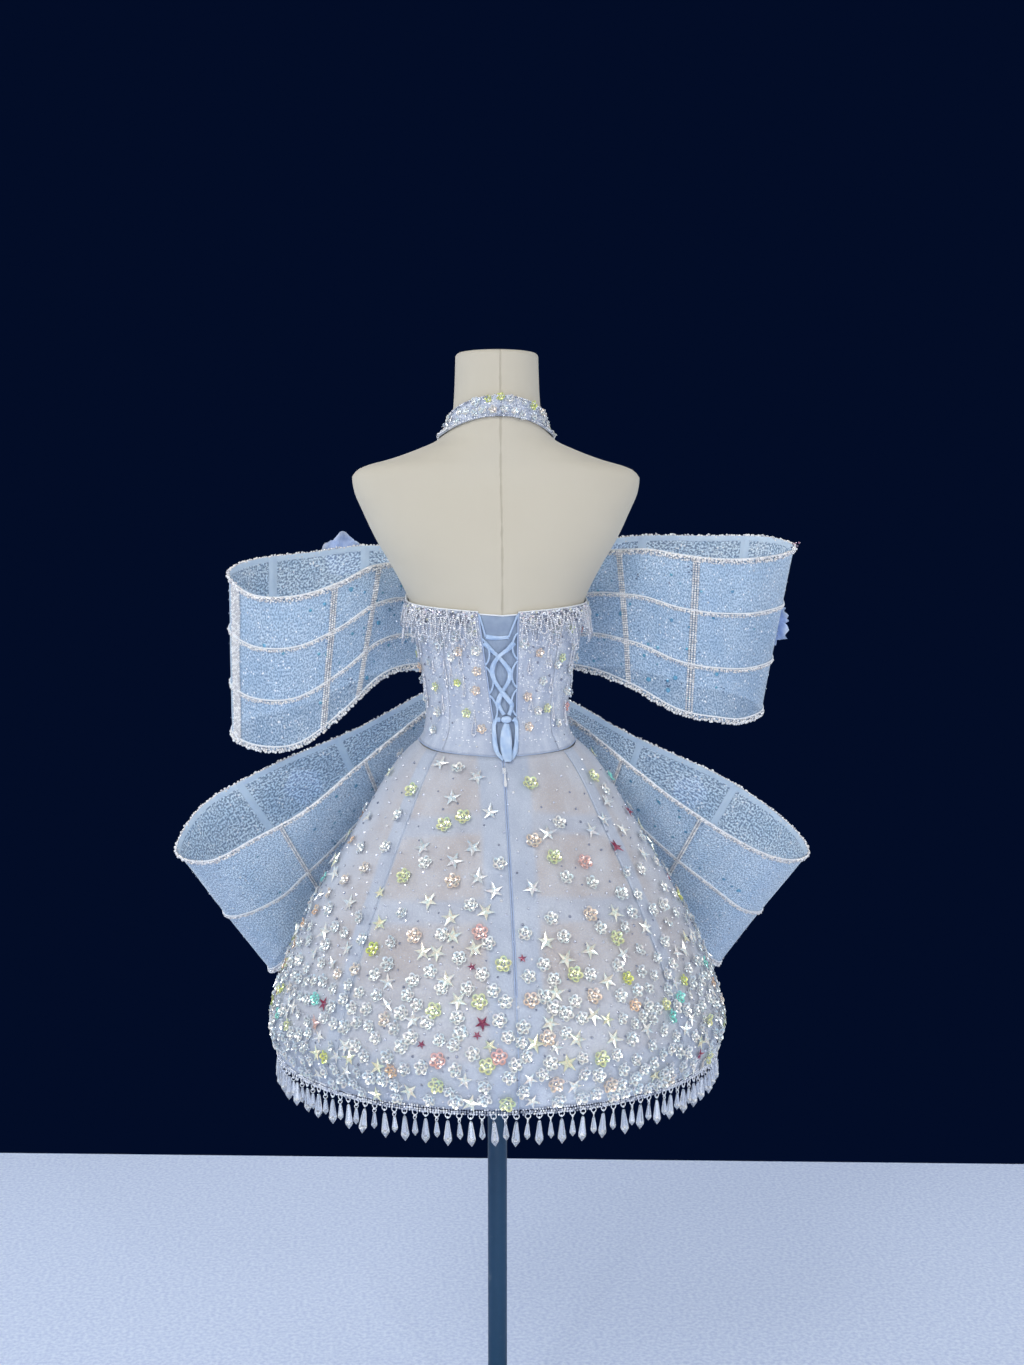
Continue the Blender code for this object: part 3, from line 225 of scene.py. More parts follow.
def bodiceTulle():
    tree = newFinish("tulle", "bodiceTulle", {"Roughness": 0.45, "Sheen Weight": 0.3, "Sheen Roughness": 0.4,
                                              "Specular IOR Level": 0.4})
    flat = place(tree)
    across, _, height = apart(place(tree, "Object"), "XYZ")
    drips = plus(times(cloudy(scaled(flat, (1.0, 0.22, 1.0)), 85.0, 3.0), 0.6), times(cloudy(flat, 45.0, 3.0), 0.4))
    tone = mixed(between(drips, 0.42, 0.66), tulleTones["base"], tulleTones["light"])
    tone = mixed(between(cloudy(flat, 800.0, 1.0), 0.35, 0.7, 0.0, 0.45), tone, tulleTones["thread"])
    # the back panels are painted darker beside the lacing
    darkerBesideLacing = between(worked("ABSOLUTE", across), 0.015, 0.080, 0.28, 0.0)
    tone = mixed(darkerBesideLacing, tone, tulleTones["shade"])
    # beads too small to model one by one, painted as white specks of highlight and dark specks of shade, in drips
    # that are thickest near the top edge
    dense = times(between(height, 1.03, 1.17, 0.12, 0.75), between(drips, 0.36, 0.58))
    cells = addNode(tree, "TexVoronoi", {"Vector": flat, "Scale": 430.0}).outputs
    chance = apart(cells["Color"])
    spot = between(cells["Distance"], 0.30, 0.44, 1.0, 0.0)
    dark = times(spot, worked("LESS_THAN", chance[1], times(dense, 0.55)))
    tone = mixed(times(dark, 0.7), tone, tulleTones["shade"])
    lit = times(spot, worked("LESS_THAN", chance[0], dense))
    plug(mixed(lit, tone, tulleTones["bead"]), "Base Color")
    raised(plus(netting(flat, 0.0010), times(drips, 1.5)), 0.35)


satins = {
    # piece: name, light tone, deep tone, roughness
    "panel": ("panelSatin", (0.30, 0.38, 0.51), (0.22, 0.29, 0.42), 0.4),
    "ribbon": ("ribbonSatin", (0.62, 0.75, 0.92), (0.33, 0.49, 0.76), 0.32),
    "casing": ("casingSatin", (0.70, 0.82, 0.92), (0.58, 0.71, 0.85), 0.45),
    "cord": ("cordSatin", (0.93, 0.95, 0.97), (0.80, 0.84, 0.89), 0.5),
    "piping": ("pipingSatin", (0.47, 0.57, 0.76), (0.36, 0.46, 0.67), 0.45),
}


def satinCloth(key, name, light, deep, roughness):
    tree = newFinish(key, name, {"Roughness": roughness, "Sheen Weight": 0.2, "Sheen Roughness": 0.3,
                                 "Specular IOR Level": 0.6, "Anisotropic": 0.4})
    flat = place(tree)
    soft = cloudy(flat, 70.0)
    fine = threads(flat, 0.0006, "DIAGONAL")
    tone = mixed(between(soft, 0.3, 0.7), deep, light)
    plug(mixed(between(fine, 0.0, 1.0, 0.0, 0.12), tone, deep), "Base Color")
    raised(plus(fine, times(soft, 3.0)), 0.25, 0.0004)


# lit is the brighter tone of painted light, beyond the cloth's own colour
bowTones = {"base": (0.42, 0.59, 0.80), "light": (0.58, 0.73, 0.90), "deep": (0.12, 0.25, 0.44),
            "glint": (1.0, 1.0, 1.0), "lit": (2.0, 1.75, 1.5)}


def bowOrganza():
    tree = newFinish("bow", "bowOrganza", {"Roughness": 0.4, "Sheen Weight": 0.6, "Sheen Roughness": 0.3,
                                           "Sheen Tint": (0.75, 0.88, 1.0)})
    flat = place(tree)
    soft = cloudy(flat, 26.0, 3.0)
    grain = cloudy(flat, 400.0, 1.5)
    tone = mixed(between(soft, 0.3, 0.72), bowTones["base"], bowTones["light"])
    # red channel of the paint: painted light, how much brighter the cloth is painted where it would take more light
    paintedLight = apart(painted(tree, "layers"))[0]
    tone = mixed(paintedLight, tone, mixed(1.0, tone, bowTones["lit"], "MULTIPLY"))
    tone = mixed(between(grain, 0.42, 0.58, 0.0, 0.78), tone, bowTones["deep"])
    specks = addNode(tree, "TexVoronoi", {"Vector": flat, "Scale": 190.0}).outputs["Distance"]
    glint = times(between(specks, 0.18, 0.28, 1.0, 0.0), between(cloudy(flat, 90.0, 1.0), 0.5, 0.58))
    plug(mixed(glint, tone, bowTones["glint"]), "Base Color")
    net = netting(flat, 0.0012)
    cover = plus(between(grain, 0.35, 0.65, 0.80, 0.66), times(glint, 0.3))
    plug(plus(cover, times(net, 0.06)), "Alpha")
    raised(plus(net, times(soft, 3.0)), 0.3)


petalTones = {"deep": (0.26, 0.40, 0.78), "light": (0.55, 0.68, 0.95), "vein": (0.75, 0.84, 1.0),
              "rim": (0.74, 0.83, 1.0)}


def petalOrganza():
    tree = newFinish("petal", "petalOrganza", {"Roughness": 0.42, "Sheen Weight": 0.5, "Sheen Roughness": 0.3,
                                               "Sheen Tint": (0.75, 0.88, 1.0)})
    flat = place(tree)
    radial = threads(flat, 0.0016, "X")
    soft = cloudy(flat, 60.0, 3.0)
    tone = mixed(between(soft, 0.3, 0.7), petalTones["deep"], petalTones["light"])
    tone = mixed(times(radial, 0.2), tone, petalTones["vein"])
    # pale rolled rims, the length of a petal running along its UV map's second axis
    rolled = between(apart(flat, "XYZ")[1], 0.022, 0.029, 0.0, 0.85)
    plug(mixed(rolled, tone, petalTones["rim"]), "Base Color")
    plug(between(soft, 0.3, 0.7, 0.72, 0.92), "Alpha")
    raised(plus(radial, times(soft, 4.0)), 0.4, 0.0006)


def glassy(key, name, look, cloud, veil, roughness):
    # beads, each in its own tint with a cloud of the veil's colour; cloud and roughness are (scale, low, high)
    tree = newFinish(key, name, look)
    where = place(tree, "Object")
    amount = between(cloudy(where, cloud[0]), 0.35, 0.65, *cloud[1:])
    plug(mixed(amount, painted(tree), veil), "Base Color")
    plug(between(cloudy(where, roughness[0]), 0.3, 0.7, *roughness[1:]), "Roughness")


filmTones = {"blue": (0.76, 0.95, 1.0, 1.0), "yellow": (1.0, 1.0, 0.92, 1.0), "pink": (1.0, 0.88, 0.84, 1.0),
             "heart": (0.20, 0.22, 0.28)}


def sequinFilm():
    tree = newFinish("sequin", "sequinFilm", {"Roughness": 0.14, "Metallic": 0.3, "Coat Weight": 1.0,
                                              "Coat Roughness": 0.04, "Specular IOR Level": 0.9})
    where = place(tree, "Object")
    film = addNode(tree, "ValToRGB", {"Fac": between(cloudy(where, 260.0, 1.0), 0.3, 0.7)})
    stops = film.color_ramp.elements
    stops[0].color, stops[1].color = filmTones["blue"], filmTones["pink"]
    stops.new(0.5).color = filmTones["yellow"]
    rim = addNode(tree, "Attribute", attribute_name="rim").outputs["Fac"]
    tone = mixed(1.0, painted(tree), film.outputs["Color"], "MULTIPLY")
    # the middle of each petal is painted dark as shade in its cup and left sheer, so the rims stand out as a painted
    # glint
    plug(mixed(between(rim, 0.25, 0.75, 0.66, 0.0), tone, filmTones["heart"]), "Base Color")
    plug(between(rim, 0.1, 0.7, 0.38, 1.0), "Alpha")
    plug(between(cloudy(where, 500.0), 0.3, 0.7, 0.06, 0.26), "Roughness")


def cutCrystal():
    tree = newFinish("crystal", "cutCrystal", {"Roughness": 0.03, "IOR": 1.54, "Transmission Weight": 0.78,
                                               "Coat Weight": 0.6, "Coat Roughness": 0.02, "Specular IOR Level": 0.8})
    veil = cloudy(place(tree, "Object"), 260.0)
    plug(mixed(between(veil, 0.35, 0.65), (0.80, 0.86, 0.97), (0.95, 0.97, 1.0)), "Base Color")
    plug(between(veil, 0.3, 0.7, 0.02, 0.10), "Roughness")


def zipSteel():
    tree = newFinish("zip", "zipSteel", {"Metallic": 0.35, "Roughness": 0.25, "Coat Weight": 1.0})
    where = place(tree, "Object")
    rub = cloudy(where, 900.0, 4.0)
    plug(mixed(rub, (0.80, 0.84, 0.90), (0.97, 0.98, 1.0)), "Base Color")
    plug(between(rub, 0.3, 0.7, 0.2, 0.42), "Roughness")
    raised(cloudy(where, 2600.0), 0.08, 0.0002)


for makeFinish in (linenCloth, paintedSteel, skirtOrganza, bodiceTulle, bowOrganza, petalOrganza, sequinFilm,
                   cutCrystal, zipSteel):
    makeFinish()
for key, plan in satins.items():
    satinCloth(key, *plan)
glassy("bead", "beadGlass", {"Roughness": 0.12, "Metallic": 0.25, "Coat Weight": 1.0, "Coat Roughness": 0.05,
                             "Specular IOR Level": 0.8}, (420.0, 0.0, 0.35), (0.42, 0.48, 0.62), (600.0, 0.05, 0.22))
glassy("trim", "trimBead", {"Roughness": 0.25, "Coat Weight": 1.0, "Coat Roughness": 0.08,
                            "Specular IOR Level": 0.7}, (500.0, 0.0, 0.30), (0.74, 0.78, 0.84), (700.0, 0.12, 0.35))
print("finishes made:", len(finishes))


# ---- small tools for pieces
def linked(name, data):
    made = bpy.data.objects.new(name, data)
    bpy.context.scene.collection.objects.link(made)
    return made


def asMesh(name, shape):
    mesh = bpy.data.meshes.new(name)
    shape.to_mesh(mesh)
    shape.free()
    return mesh


def meshPiece(name, mesh, finish, slot, stands=(), smooth=True, wall=0.0):
    mesh.materials.clear()
    mesh.materials.append(finishes[finish])
    if smooth:
        mesh.shade_smooth()
    made = linked(name, mesh)
    if wall:
        thick = made.modifiers.new("clothWall", "SOLIDIFY")
        thick.thickness = wall
        thick.offset = -1.0
    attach(made, "root")
    if stands:
        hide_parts(*stands)
    return made


def finishPiece(name, shape, *rest, **more):
    return meshPiece(name, asMesh(name, shape), *rest, **more)


def clothGrid(columns, rows, pointAt, size, flip=False, closed=False, paint=None):
    # a flat grid of cloth, its UV map in metres, carried over to its place in space
    shape = bmesh.new()
    bmesh.ops.create_grid(shape, x_segments=columns, y_segments=rows, size=0.5)
    flat = shape.loops.layers.uv.new("UVMap")
    layer = shape.verts.layers.float_color.new("layers") if paint else None
    for face in shape.faces:
        for loop in face.loops:
            loop[flat].uv = ((loop.vert.co.x + 0.5) * size[0], (loop.vert.co.y + 0.5) * size[1])
    for vert in shape.verts:
        u = min(max(vert.co.x + 0.5, 0.0), 1.0)
        v = min(max(vert.co.y + 0.5, 0.0), 1.0)
        vert.co = pointAt(u, v)
        if paint:
            vert[layer] = (*paint(u, v), 1.0)
    if flip:
        bmesh.ops.reverse_faces(shape, faces=shape.faces[:])
    if closed:
        bmesh.ops.remove_doubles(shape, verts=shape.verts[:], dist=0.00002)
        bmesh.ops.recalc_face_normals(shape, faces=shape.faces[:])
    return shape


def joined(shapes):
    # several bmeshes as one
    whole = bmesh.new()
    for shape in shapes:
        spare = asMesh("spare", shape)
        whole.from_mesh(spare)
        bpy.data.meshes.remove(spare)
    return whole


def cordMesh(lines, radius, closed=False):
    # round cords through lists of points
    data = bpy.data.curves.new("cord", "CURVE")
    data.dimensions = "3D"
    data.bevel_depth = radius
    data.bevel_resolution = 2
    data.use_fill_caps = not closed
    for line in lines:
        spline = data.splines.new("POLY")
        spline.points.add(len(line) - 1)
        for knot, point in zip(spline.points, line):
            knot.co = (*point, 1.0)
        spline.use_cyclic_u = closed
    holder = linked("cord", data)
    bpy.context.view_layer.update()
    mesh = bpy.data.meshes.new_from_object(holder)
    bpy.data.objects.remove(holder, do_unlink=True)
    bpy.data.curves.remove(data)
    return mesh


def scatter(name, pattern, spots, finish, slot="crystal", stands=(), smooth=None):
    # copies of a small pattern piece at every spot, each in its own tint
    rest = [vert.co.copy() for vert in pattern.vertices]
    tints = pattern.color_attributes.get("tint") or pattern.color_attributes.new("tint", "FLOAT_COLOR", "POINT")
    shape = bmesh.new()
    for matrix, tint in spots:
        for vert, co in zip(pattern.vertices, rest):
            vert.co = matrix @ co
        tints.data.foreach_set("color", [*tint, 1.0] * len(rest))
        shape.from_mesh(pattern)
    for vert, co in zip(pattern.vertices, rest):
        vert.co = co
    return finishPiece(name, shape, finish, slot, stands, smooth=pattern is beadShape if smooth is None else smooth)


def patternMesh(model):
    shape = bmesh.new()
    model(shape)
    return asMesh(model.__name__, shape)


def beadPattern(shape):
    bmesh.ops.create_icosphere(shape, subdivisions=1, radius=1.0)


def stonePattern(shape):
    bmesh.ops.create_cone(shape, cap_ends=True, segments=6, radius1=1.0, radius2=0.55, depth=0.6)
    bmesh.ops.translate(shape, verts=shape.verts[:], vec=(0.0, 0.0, 0.3))


def flowerPattern(shape):
    # five cupped petals of clear film, their rims marked to stay bright as a painted glint while their middles take
    # painted shade, and a seed bead in the middle
    rim = shape.verts.layers.float.new("rim")
    lean = Matrix.Rotation(math.radians(-24.0), 4, "Y")
    for k in range(5):
        at = Matrix.Rotation(k * math.tau / 5, 4, "Z") @ Matrix.Translation((0.60, 0.0, 0.20)) @ lean
        made = bmesh.ops.create_circle(shape, cap_ends=True, cap_tris=True, segments=8, radius=0.40, matrix=at)
        for vert in made["verts"]:
            middle = len(vert.link_edges) > 3
            vert[rim] = 0.0 if middle else 1.0
            vert.co.z -= 0.16 if middle else 0.0
    for vert in bmesh.ops.create_icosphere(shape, subdivisions=1, radius=0.16)["verts"]:
        vert.co.z += 0.16
        vert[rim] = 0.85


def starPattern(shape):
    # five thin points with a raised ridge, two of them bent up
    rim = shape.verts.layers.float.new("rim")
    bmesh.ops.create_circle(shape, cap_ends=True, cap_tris=True, segments=10, radius=1.0)
    for vert in shape.verts:
        vert[rim] = 1.0
        if vert.co.length < 0.1:
            vert.co.z = 0.20
            continue
        corner = round((math.degrees(math.atan2(vert.co.y, vert.co.x)) - 90.0) / 36.0) % 10
        tip = corner % 2 == 0
        vert.co = vert.co * (1.0 if tip else 0.36)
        vert.co.z = (0.30 if corner in (2, 6) else 0.0) if tip else 0.03


beadShape, stoneShape, flowerShape, starShape = [
    patternMesh(model) for model in (beadPattern, stonePattern, flowerPattern, starPattern)]

beadTints = [(0.86, 0.89, 0.95), (0.70, 0.74, 0.82), (0.98, 0.98, 0.97), (0.24, 0.27, 0.36), (0.78, 0.82, 0.94)]
clearTints = [(0.90, 0.92, 0.97), (1.0, 1.0, 1.0), (0.80, 0.84, 0.92), (0.94, 0.90, 0.92)]
trimTints = [(0.92, 0.92, 0.93), (0.74, 0.73, 0.73), (1.0, 0.99, 0.97), (0.60, 0.59, 0.62), (0.95, 0.90, 0.84)]
# tints and their shares
flowerTints = [((0.82, 0.86, 0.90), 54), ((0.95, 0.97, 0.98), 29), ((0.82, 0.88, 0.20), 4),
               ((0.92, 0.95, 0.50), 5), ((0.96, 0.66, 0.46), 2), ((0.94, 0.42, 0.40), 1),
               ((0.30, 0.92, 0.82), 1), ((0.92, 0.82, 0.74), 4)]
starTints = [((0.88, 0.90, 0.92), 42), ((0.94, 0.92, 0.68), 26), ((1.0, 1.0, 1.0), 22),
             ((0.34, 0.05, 0.12), 6), ((0.86, 0.52, 0.46), 4)]

# trims that stand at places of their own: model and tint, then (angle, height in millimetres)
placeLooks = {
    "clear": ("flower", (0.95, 0.97, 0.98)), "lime": ("flower", (0.90, 0.95, 0.55)),
    "peach": ("flower", (0.98, 0.80, 0.68)), "coral": ("flower", (0.97, 0.58, 0.54)),
    "silverStar": ("star", (0.84, 0.87, 0.92)), "goldStar": ("star", (0.97, 0.96, 0.86)),
    "plumStar": ("star", (0.34, 0.05, 0.12)),
}
skirtPlaces = {
    "clear": [(25.4, 992), (-21.7, 927), (3.6, 883), (30.5, 881), (12.7, 836), (-19.0, 864), (-28.0, 855),
              (-11.5, 819), (-3.1, 804), (-14.3, 798), (-26.3, 803), (20.3, 802), (7.1, 794), (14.8, 777),
              (22.2, 760), (26.6, 749), (18.7, 743), (8.6, 760), (-7.5, 769), (-3.3, 757), (-9.8, 752),
              (-19.6, 754), (12.2, 744), (5.7, 742), (2.7, 730), (-28.6, 759)],
    "lime": [(49.0, 963), (26.3, 926), (18.7, 936), (-12.5, 975), (-54.0, 976), (-16.1, 888), (37.3, 863),
             (20.1, 718), (3.1, 771), (-15.6, 756), (-19.4, 659), (18.3, 635), (2.6, 614), (7.1, 659), (-30.8, 789),
             (9.1, 730)],
    "peach": [(-9.5, 908), (19.1, 862), (28.5, 798), (-24.1, 820), (-19.7, 730), (-3.5, 731), (-21.4, 627),
              (-8.3, 636), (-6.8, 688)],
    "coral": [(9.5, 806), (-27.8, 879), (4.3, 669), (18.2, 663)],
    "silverStar": [(37.2, 997), (14.3, 983), (25.0, 958), (7.3, 942), (33.1, 898), (13.3, 900), (19.7, 885),
                   (-15.7, 916), (-36.1, 914), (-45.8, 924), (-54.6, 944), (-6.8, 854), (10.8, 867), (5.4, 852)],
    "goldStar": [(26.2, 838), (18.4, 821), (25.2, 781), (21.2, 781), (8.0, 829), (-9.0, 794), (-13.9, 773),
                 (-21.3, 780), (-33.2, 817), (17.1, 801), (10.9, 788), (-24.4, 744), (-10.0, 737), (17.6, 752),
                 (14.3, 730), (25.0, 623), (10.8, 614), (-18.8, 708), (-7.7, 704), (-14.0, 684), (-23.3, 679)],
    "plumStar": [(11.3, 768), (-2.0, 777), (22.4, 679), (9.4, 693)],
}
bodicePlaces = {
    "peach": [(-27.5, 1145), (-20.3, 1086), (-21.4, 1045), (31.4, 1147), (18.5, 1121), (19.9, 1095), (15.5, 1043)],
    "lime": [(-50.0, 1137), (-55.5, 1176), (-39.1, 1069), (28.2, 1064)],
    "clear": [(-32.7, 1107), (-30.0, 1066), (-45.2, 1128), (37.6, 1140)],
}


def pickTint(table):
    return dice.choices(*zip(*table))[0]


def sized(at, wide, deep=None, tall=None):
    # matrix of a small unturned piece
    return Matrix.Translation(at) @ Matrix.Diagonal((wide, deep or wide, tall or wide, 1.0))


def seated(point, normal, size, tilt=0.0, tall=1.0):
    # matrix of a small piece sewn at a point, facing along the cloth's normal
    facing = normal.to_track_quat("Z", "Y").to_matrix().to_4x4()
    return (Matrix.Translation(point) @ facing @ Matrix.Rotation(dice.uniform(0.0, math.tau), 4, "Z")
            @ Matrix.Rotation(tilt, 4, "X") @ Matrix.Diagonal((size, size, size * tall, 1.0)))


def scattered(amount):
    return Vector((dice.gauss(0, amount), dice.gauss(0, amount), dice.gauss(0, amount)))


def strung(path, pitch, size, tints, wobble=0.0, steps=400):
    # beads threaded along a path, given as a function from 0 to 1
    points = [path(k / steps) for k in range(steps + 1)]
    spots = []
    gone = 0.0
    wanted = 0.0
    for a, b in zip(points, points[1:]):
        span = (b - a).length
        while span > 0.0 and wanted <= gone + span:
            at = a.lerp(b, (wanted - gone) / span)
            if wobble:
                at = at + scattered(1) * wobble
            spots.append((sized(at, size * dice.uniform(0.85, 1.15)), dice.choice(tints)))
            wanted += pitch
        gone += span
    return spots


def spread(tries, draw, roomAt, cell):
    # places that keep their own room from each other, by darts thrown at the cloth
    kept = []
    cells = {}
    for _ in range(tries):
        found = draw()
        point, room = found[0], roomAt(found)
        if room <= 0.0:
            continue
        key = tuple(math.floor(c / cell) for c in point)
        reach = math.ceil(room / cell)
        near = itertools.product(*(range(k - reach, k + reach + 1) for k in key))
        if any((other - point).length < room for spot in near for other in cells.get(spot, ())):
            continue
        kept.append(found)
        cells.setdefault(key, []).append(point)
    return kept


# ---- curves of the body, the same as the part's own
def eased(s, a, b, span, slopeA, slopeB):
    return ((2 * s ** 3 - 3 * s ** 2 + 1) * a + (s ** 3 - 2 * s ** 2 + s) * span * slopeA
            + (3 * s ** 2 - 2 * s ** 3) * b + (s ** 3 - s ** 2) * span * slopeB)


def smoothCurve(keys, values):
    rises = [(values[k + 1] - values[k]) / (keys[k + 1] - keys[k]) for k in range(len(keys) - 1)]
    slopes = [rises[0]]
    for before, after in zip(rises, rises[1:]):
        slopes.append(0.0 if before * after <= 0.0 else 2.0 * before * after / (before + after))
    slopes.append(rises[-1])

    def at(x):
        if x <= keys[0] or x >= keys[-1]:
            return values[0] if x <= keys[0] else values[-1]
        k = bisect_right(keys, x) - 1
        span = keys[k + 1] - keys[k]
        return eased((x - keys[k]) / span, values[k], values[k + 1], span, slopes[k], slopes[k + 1])

    return at


def throughRows(rows, at):
    # smooth curves through evenly spaced rows of numbers
    last = len(rows) - 1
    left = min(int(at), last - 1)

    def slope(column, k):
        before, after = max(k - 1, 0), min(k + 1, last)
        return (column[after] - column[before]) / (after - before)

    return [eased(at - left, column[left], column[left + 1], 1.0, slope(column, left), slope(column, left + 1))
            for column in zip(*rows)]


def sectionOf(rows):
    # rows are height, half width, depth to the front, depth to the back
    heights, halves, fronts, backs = zip(*rows)
    half, front, back = (smoothCurve(heights, values) for values in (halves, fronts, backs))

    def at(angle, z, lift=0.0):
        turn = math.radians(angle)
        x = half(z)
        y = back(z) if math.cos(turn) > 0.0 else front(z)
        out = Vector((math.sin(turn) / x, math.cos(turn) / y, 0.0)).normalized()
        return Vector((x * math.sin(turn), y * math.cos(turn), z)) + out * lift

    return at, half


formRows = [
    (0.790, 0.158, 0.112, 0.122), (0.860, 0.161, 0.116, 0.128), (0.930, 0.149, 0.110, 0.116),
    (0.985, 0.123, 0.096, 0.094), (1.007, 0.112, 0.089, 0.0835), (1.022, 0.1040, 0.0845, 0.0765),
    (1.036, 0.0965, 0.0810, 0.0715), (1.062, 0.0938, 0.0805, 0.0690), (1.098, 0.0975, 0.0865, 0.0715),
    (1.130, 0.1025, 0.0940, 0.0755), (1.165, 0.1090, 0.1010, 0.0800), (1.198, 0.1165, 0.1040, 0.0835),
    (1.213, 0.1205, 0.1035, 0.0850), (1.226, 0.1260, 0.1020, 0.0860), (1.262, 0.1450, 0.0950, 0.0860),
    (1.296, 0.1650, 0.0870, 0.0820), (1.332, 0.1820, 0.0790, 0.0750), (1.363, 0.1945, 0.0710, 0.0670),
    (1.379, 0.1965, 0.0670, 0.0640), (1.389, 0.1890, 0.0650, 0.0625), (1.395, 0.1760, 0.0640, 0.0620),
    (1.404, 0.1440, 0.0630, 0.0615), (1.417, 0.1080, 0.0625, 0.0610), (1.430, 0.0800, 0.0615, 0.0605),
    (1.445, 0.0670, 0.0600, 0.0600), (1.471, 0.0594, 0.0580, 0.0585), (1.510, 0.0570, 0.0565, 0.0565),
    (1.546, 0.0560, 0.0560, 0.0560),
]
skirtRows = [
    (0.604, 0.305, 0.305, 0.305), (0.639, 0.312, 0.312, 0.311), (0.681, 0.303, 0.302, 0.300),
    (0.724, 0.288, 0.285, 0.283), (0.809, 0.248, 0.239, 0.238), (0.884, 0.206, 0.190, 0.190),
    (0.929, 0.179, 0.160, 0.159), (0.985, 0.144, 0.120, 0.117), (1.007, 0.1255, 0.098, 0.0905),
    (1.022, 0.1085, 0.089, 0.0815),
]
edgeAngles = (0.0, 45.0, 90.0, 135.0, 152.0, 180.0)
waistCurve = smoothCurve(edgeAngles, (1.007, 1.012, 1.022, 1.016, 1.011, 1.006))
topCurve = smoothCurve(edgeAngles, (1.1975, 1.2040, 1.2130, 1.2420, 1.2560, 1.2330))
bust = {"rise": 0.010, "angle": 34.0, "spread": 22.0, "z": 1.190, "tall": 0.045}
cloth = {"hem": 0.604, "bodiceLift": 0.0040, "bodiceWall": 0.0014, "panelLift": 0.0018, "skirtWall": 0.0012,
         "collarLift": 0.0039, "princess": 45.0, "front": 135.0}
opening = {"leftTop": 0.031, "leftWaist": 0.0045, "rightTop": -0.0205, "rightWaist": -0.0190, "panel": 27.0}

formSection, formHalf = sectionOf(formRows)
skirtSection, skirtHalf = sectionOf(skirtRows)


def bustLift(angle, z):
    away = abs(angle % 360.0 - 180.0) - bust["angle"]
    return bust["rise"] * math.exp(-(away / bust["spread"]) ** 2 - ((z - bust["z"]) / bust["tall"]) ** 2)


def formPoint(angle, z, lift=0.0):
    return formSection(angle, z, lift + bustLift(angle, z))


def folded(angle):
    return min(angle % 360.0, 360.0 - angle % 360.0)


def waistZ(angle):
    return waistCurve(folded(angle))


def topZ(angle):
    return topCurve(folded(angle))


def facing(pointAt, a, b, stepA, stepB):
    # outward normal of a surface round the body
    across = pointAt(a + stepA, b) - pointAt(a - stepA, b)
    along = pointAt(a, b + stepB) - pointAt(a, b - stepB)
    out = across.cross(along).normalized()
    here = pointAt(a, b)
    return -out if out.x * here.x + out.y * here.y < 0.0 else out


def formNormal(angle, z):
    return facing(formPoint, angle, z, 1.0, 0.002)


# ---- dress form
form = {"bottom": 0.790, "top": 1.546, "round": 0.005, "columns": 128, "rowStep": 0.0072}


def formLevels():
    # (height, lift, shrink) from the middle of the underside up to the middle of the neck's top
    levels = [(form["bottom"], -form["round"], s) for s in (0.0, 0.4, 0.75, 0.95, 1.0)]
    levels += [(form["bottom"] + form["round"] * (1 - math.cos(t)), -form["round"] * (1 - math.sin(t)), 1.0)
               for t in (0.5, 1.0)]
    z = form["bottom"] + form["round"]
    last = z
    while z < form["top"] - form["round"]:
        levels.append((z, 0.0, 1.0))
        last = z
        while z < form["top"] and math.hypot(z - last, formHalf(z) - formHalf(last)) < form["rowStep"]:
            z += 0.0002
    for t in (0.0, 0.4, 0.8, 1.2, 1.5708):
        levels.append((form["top"] - form["round"] * (1 - math.sin(t)), -form["round"] * (1 - math.cos(t)), 1.0))
    levels += [(form["top"], -form["round"], s) for s in (0.93, 0.6, 0.3, 0.0)]
    return levels


def buildForm():
    levels = formLevels()
    rows = len(levels) - 1

    def pointAt(u, v):
        z, lift, shrink = levels[round(v * rows)]
        point = formPoint(360.0 * u, z, lift)
        # the front of the form stays back a little under the bodice
        if z < 1.28:
            point += Vector((0.0, 1.0, 0.0)) * 0.0014 * max(0.0, -math.cos(math.radians(360.0 * u)))
        return Vector((point.x * shrink, point.y * shrink, point.z))

    shape = clothGrid(form["columns"], rows, pointAt, (0.80, 1.0), closed=True)
    finishPiece("dressForm", shape, "linen", "linen", ["form_torso"])


buildForm()
print("dress form built")

# ---- stand
stand = {"poleRadius": 0.0135, "baseRadius": 0.170, "baseThick": 0.012, "flangeRadius": 0.034,
         "flangeTall": 0.020, "gap": 0.0003, "baseRound": 0.0035, "screws": 3, "screwRadius": 0.0042,
         "screwRing": 0.0285, "screwLift": 0.0052}


def spun(shape, geom, steps):
    bmesh.ops.spin(shape, geom=geom, axis=(0, 0, 1), cent=(0, 0, 0), steps=steps, angle=math.tau, use_merge=True)


def spunProfile(shape, profile, steps, near):
    # spins a profile of (radius, height) points about the upright axis
    dots = [shape.verts.new((radius, 0.0, z)) for radius, z in profile]
    spun(shape, dots + [shape.edges.new(pair) for pair in zip(dots, dots[1:])], steps)
    bmesh.ops.remove_doubles(shape, verts=shape.verts[:], dist=near)


def turnedPiece(name, node, steps, profile):
    shape = bmesh.new()
    spunProfile(shape, profile, steps, 0.00002)
    bmesh.ops.recalc_face_normals(shape, faces=shape.faces[:])
    made = finishPiece(name, shape, "steel", "steel", [node])
    made.data.set_sharp_from_angle(angle=math.radians(35.0))


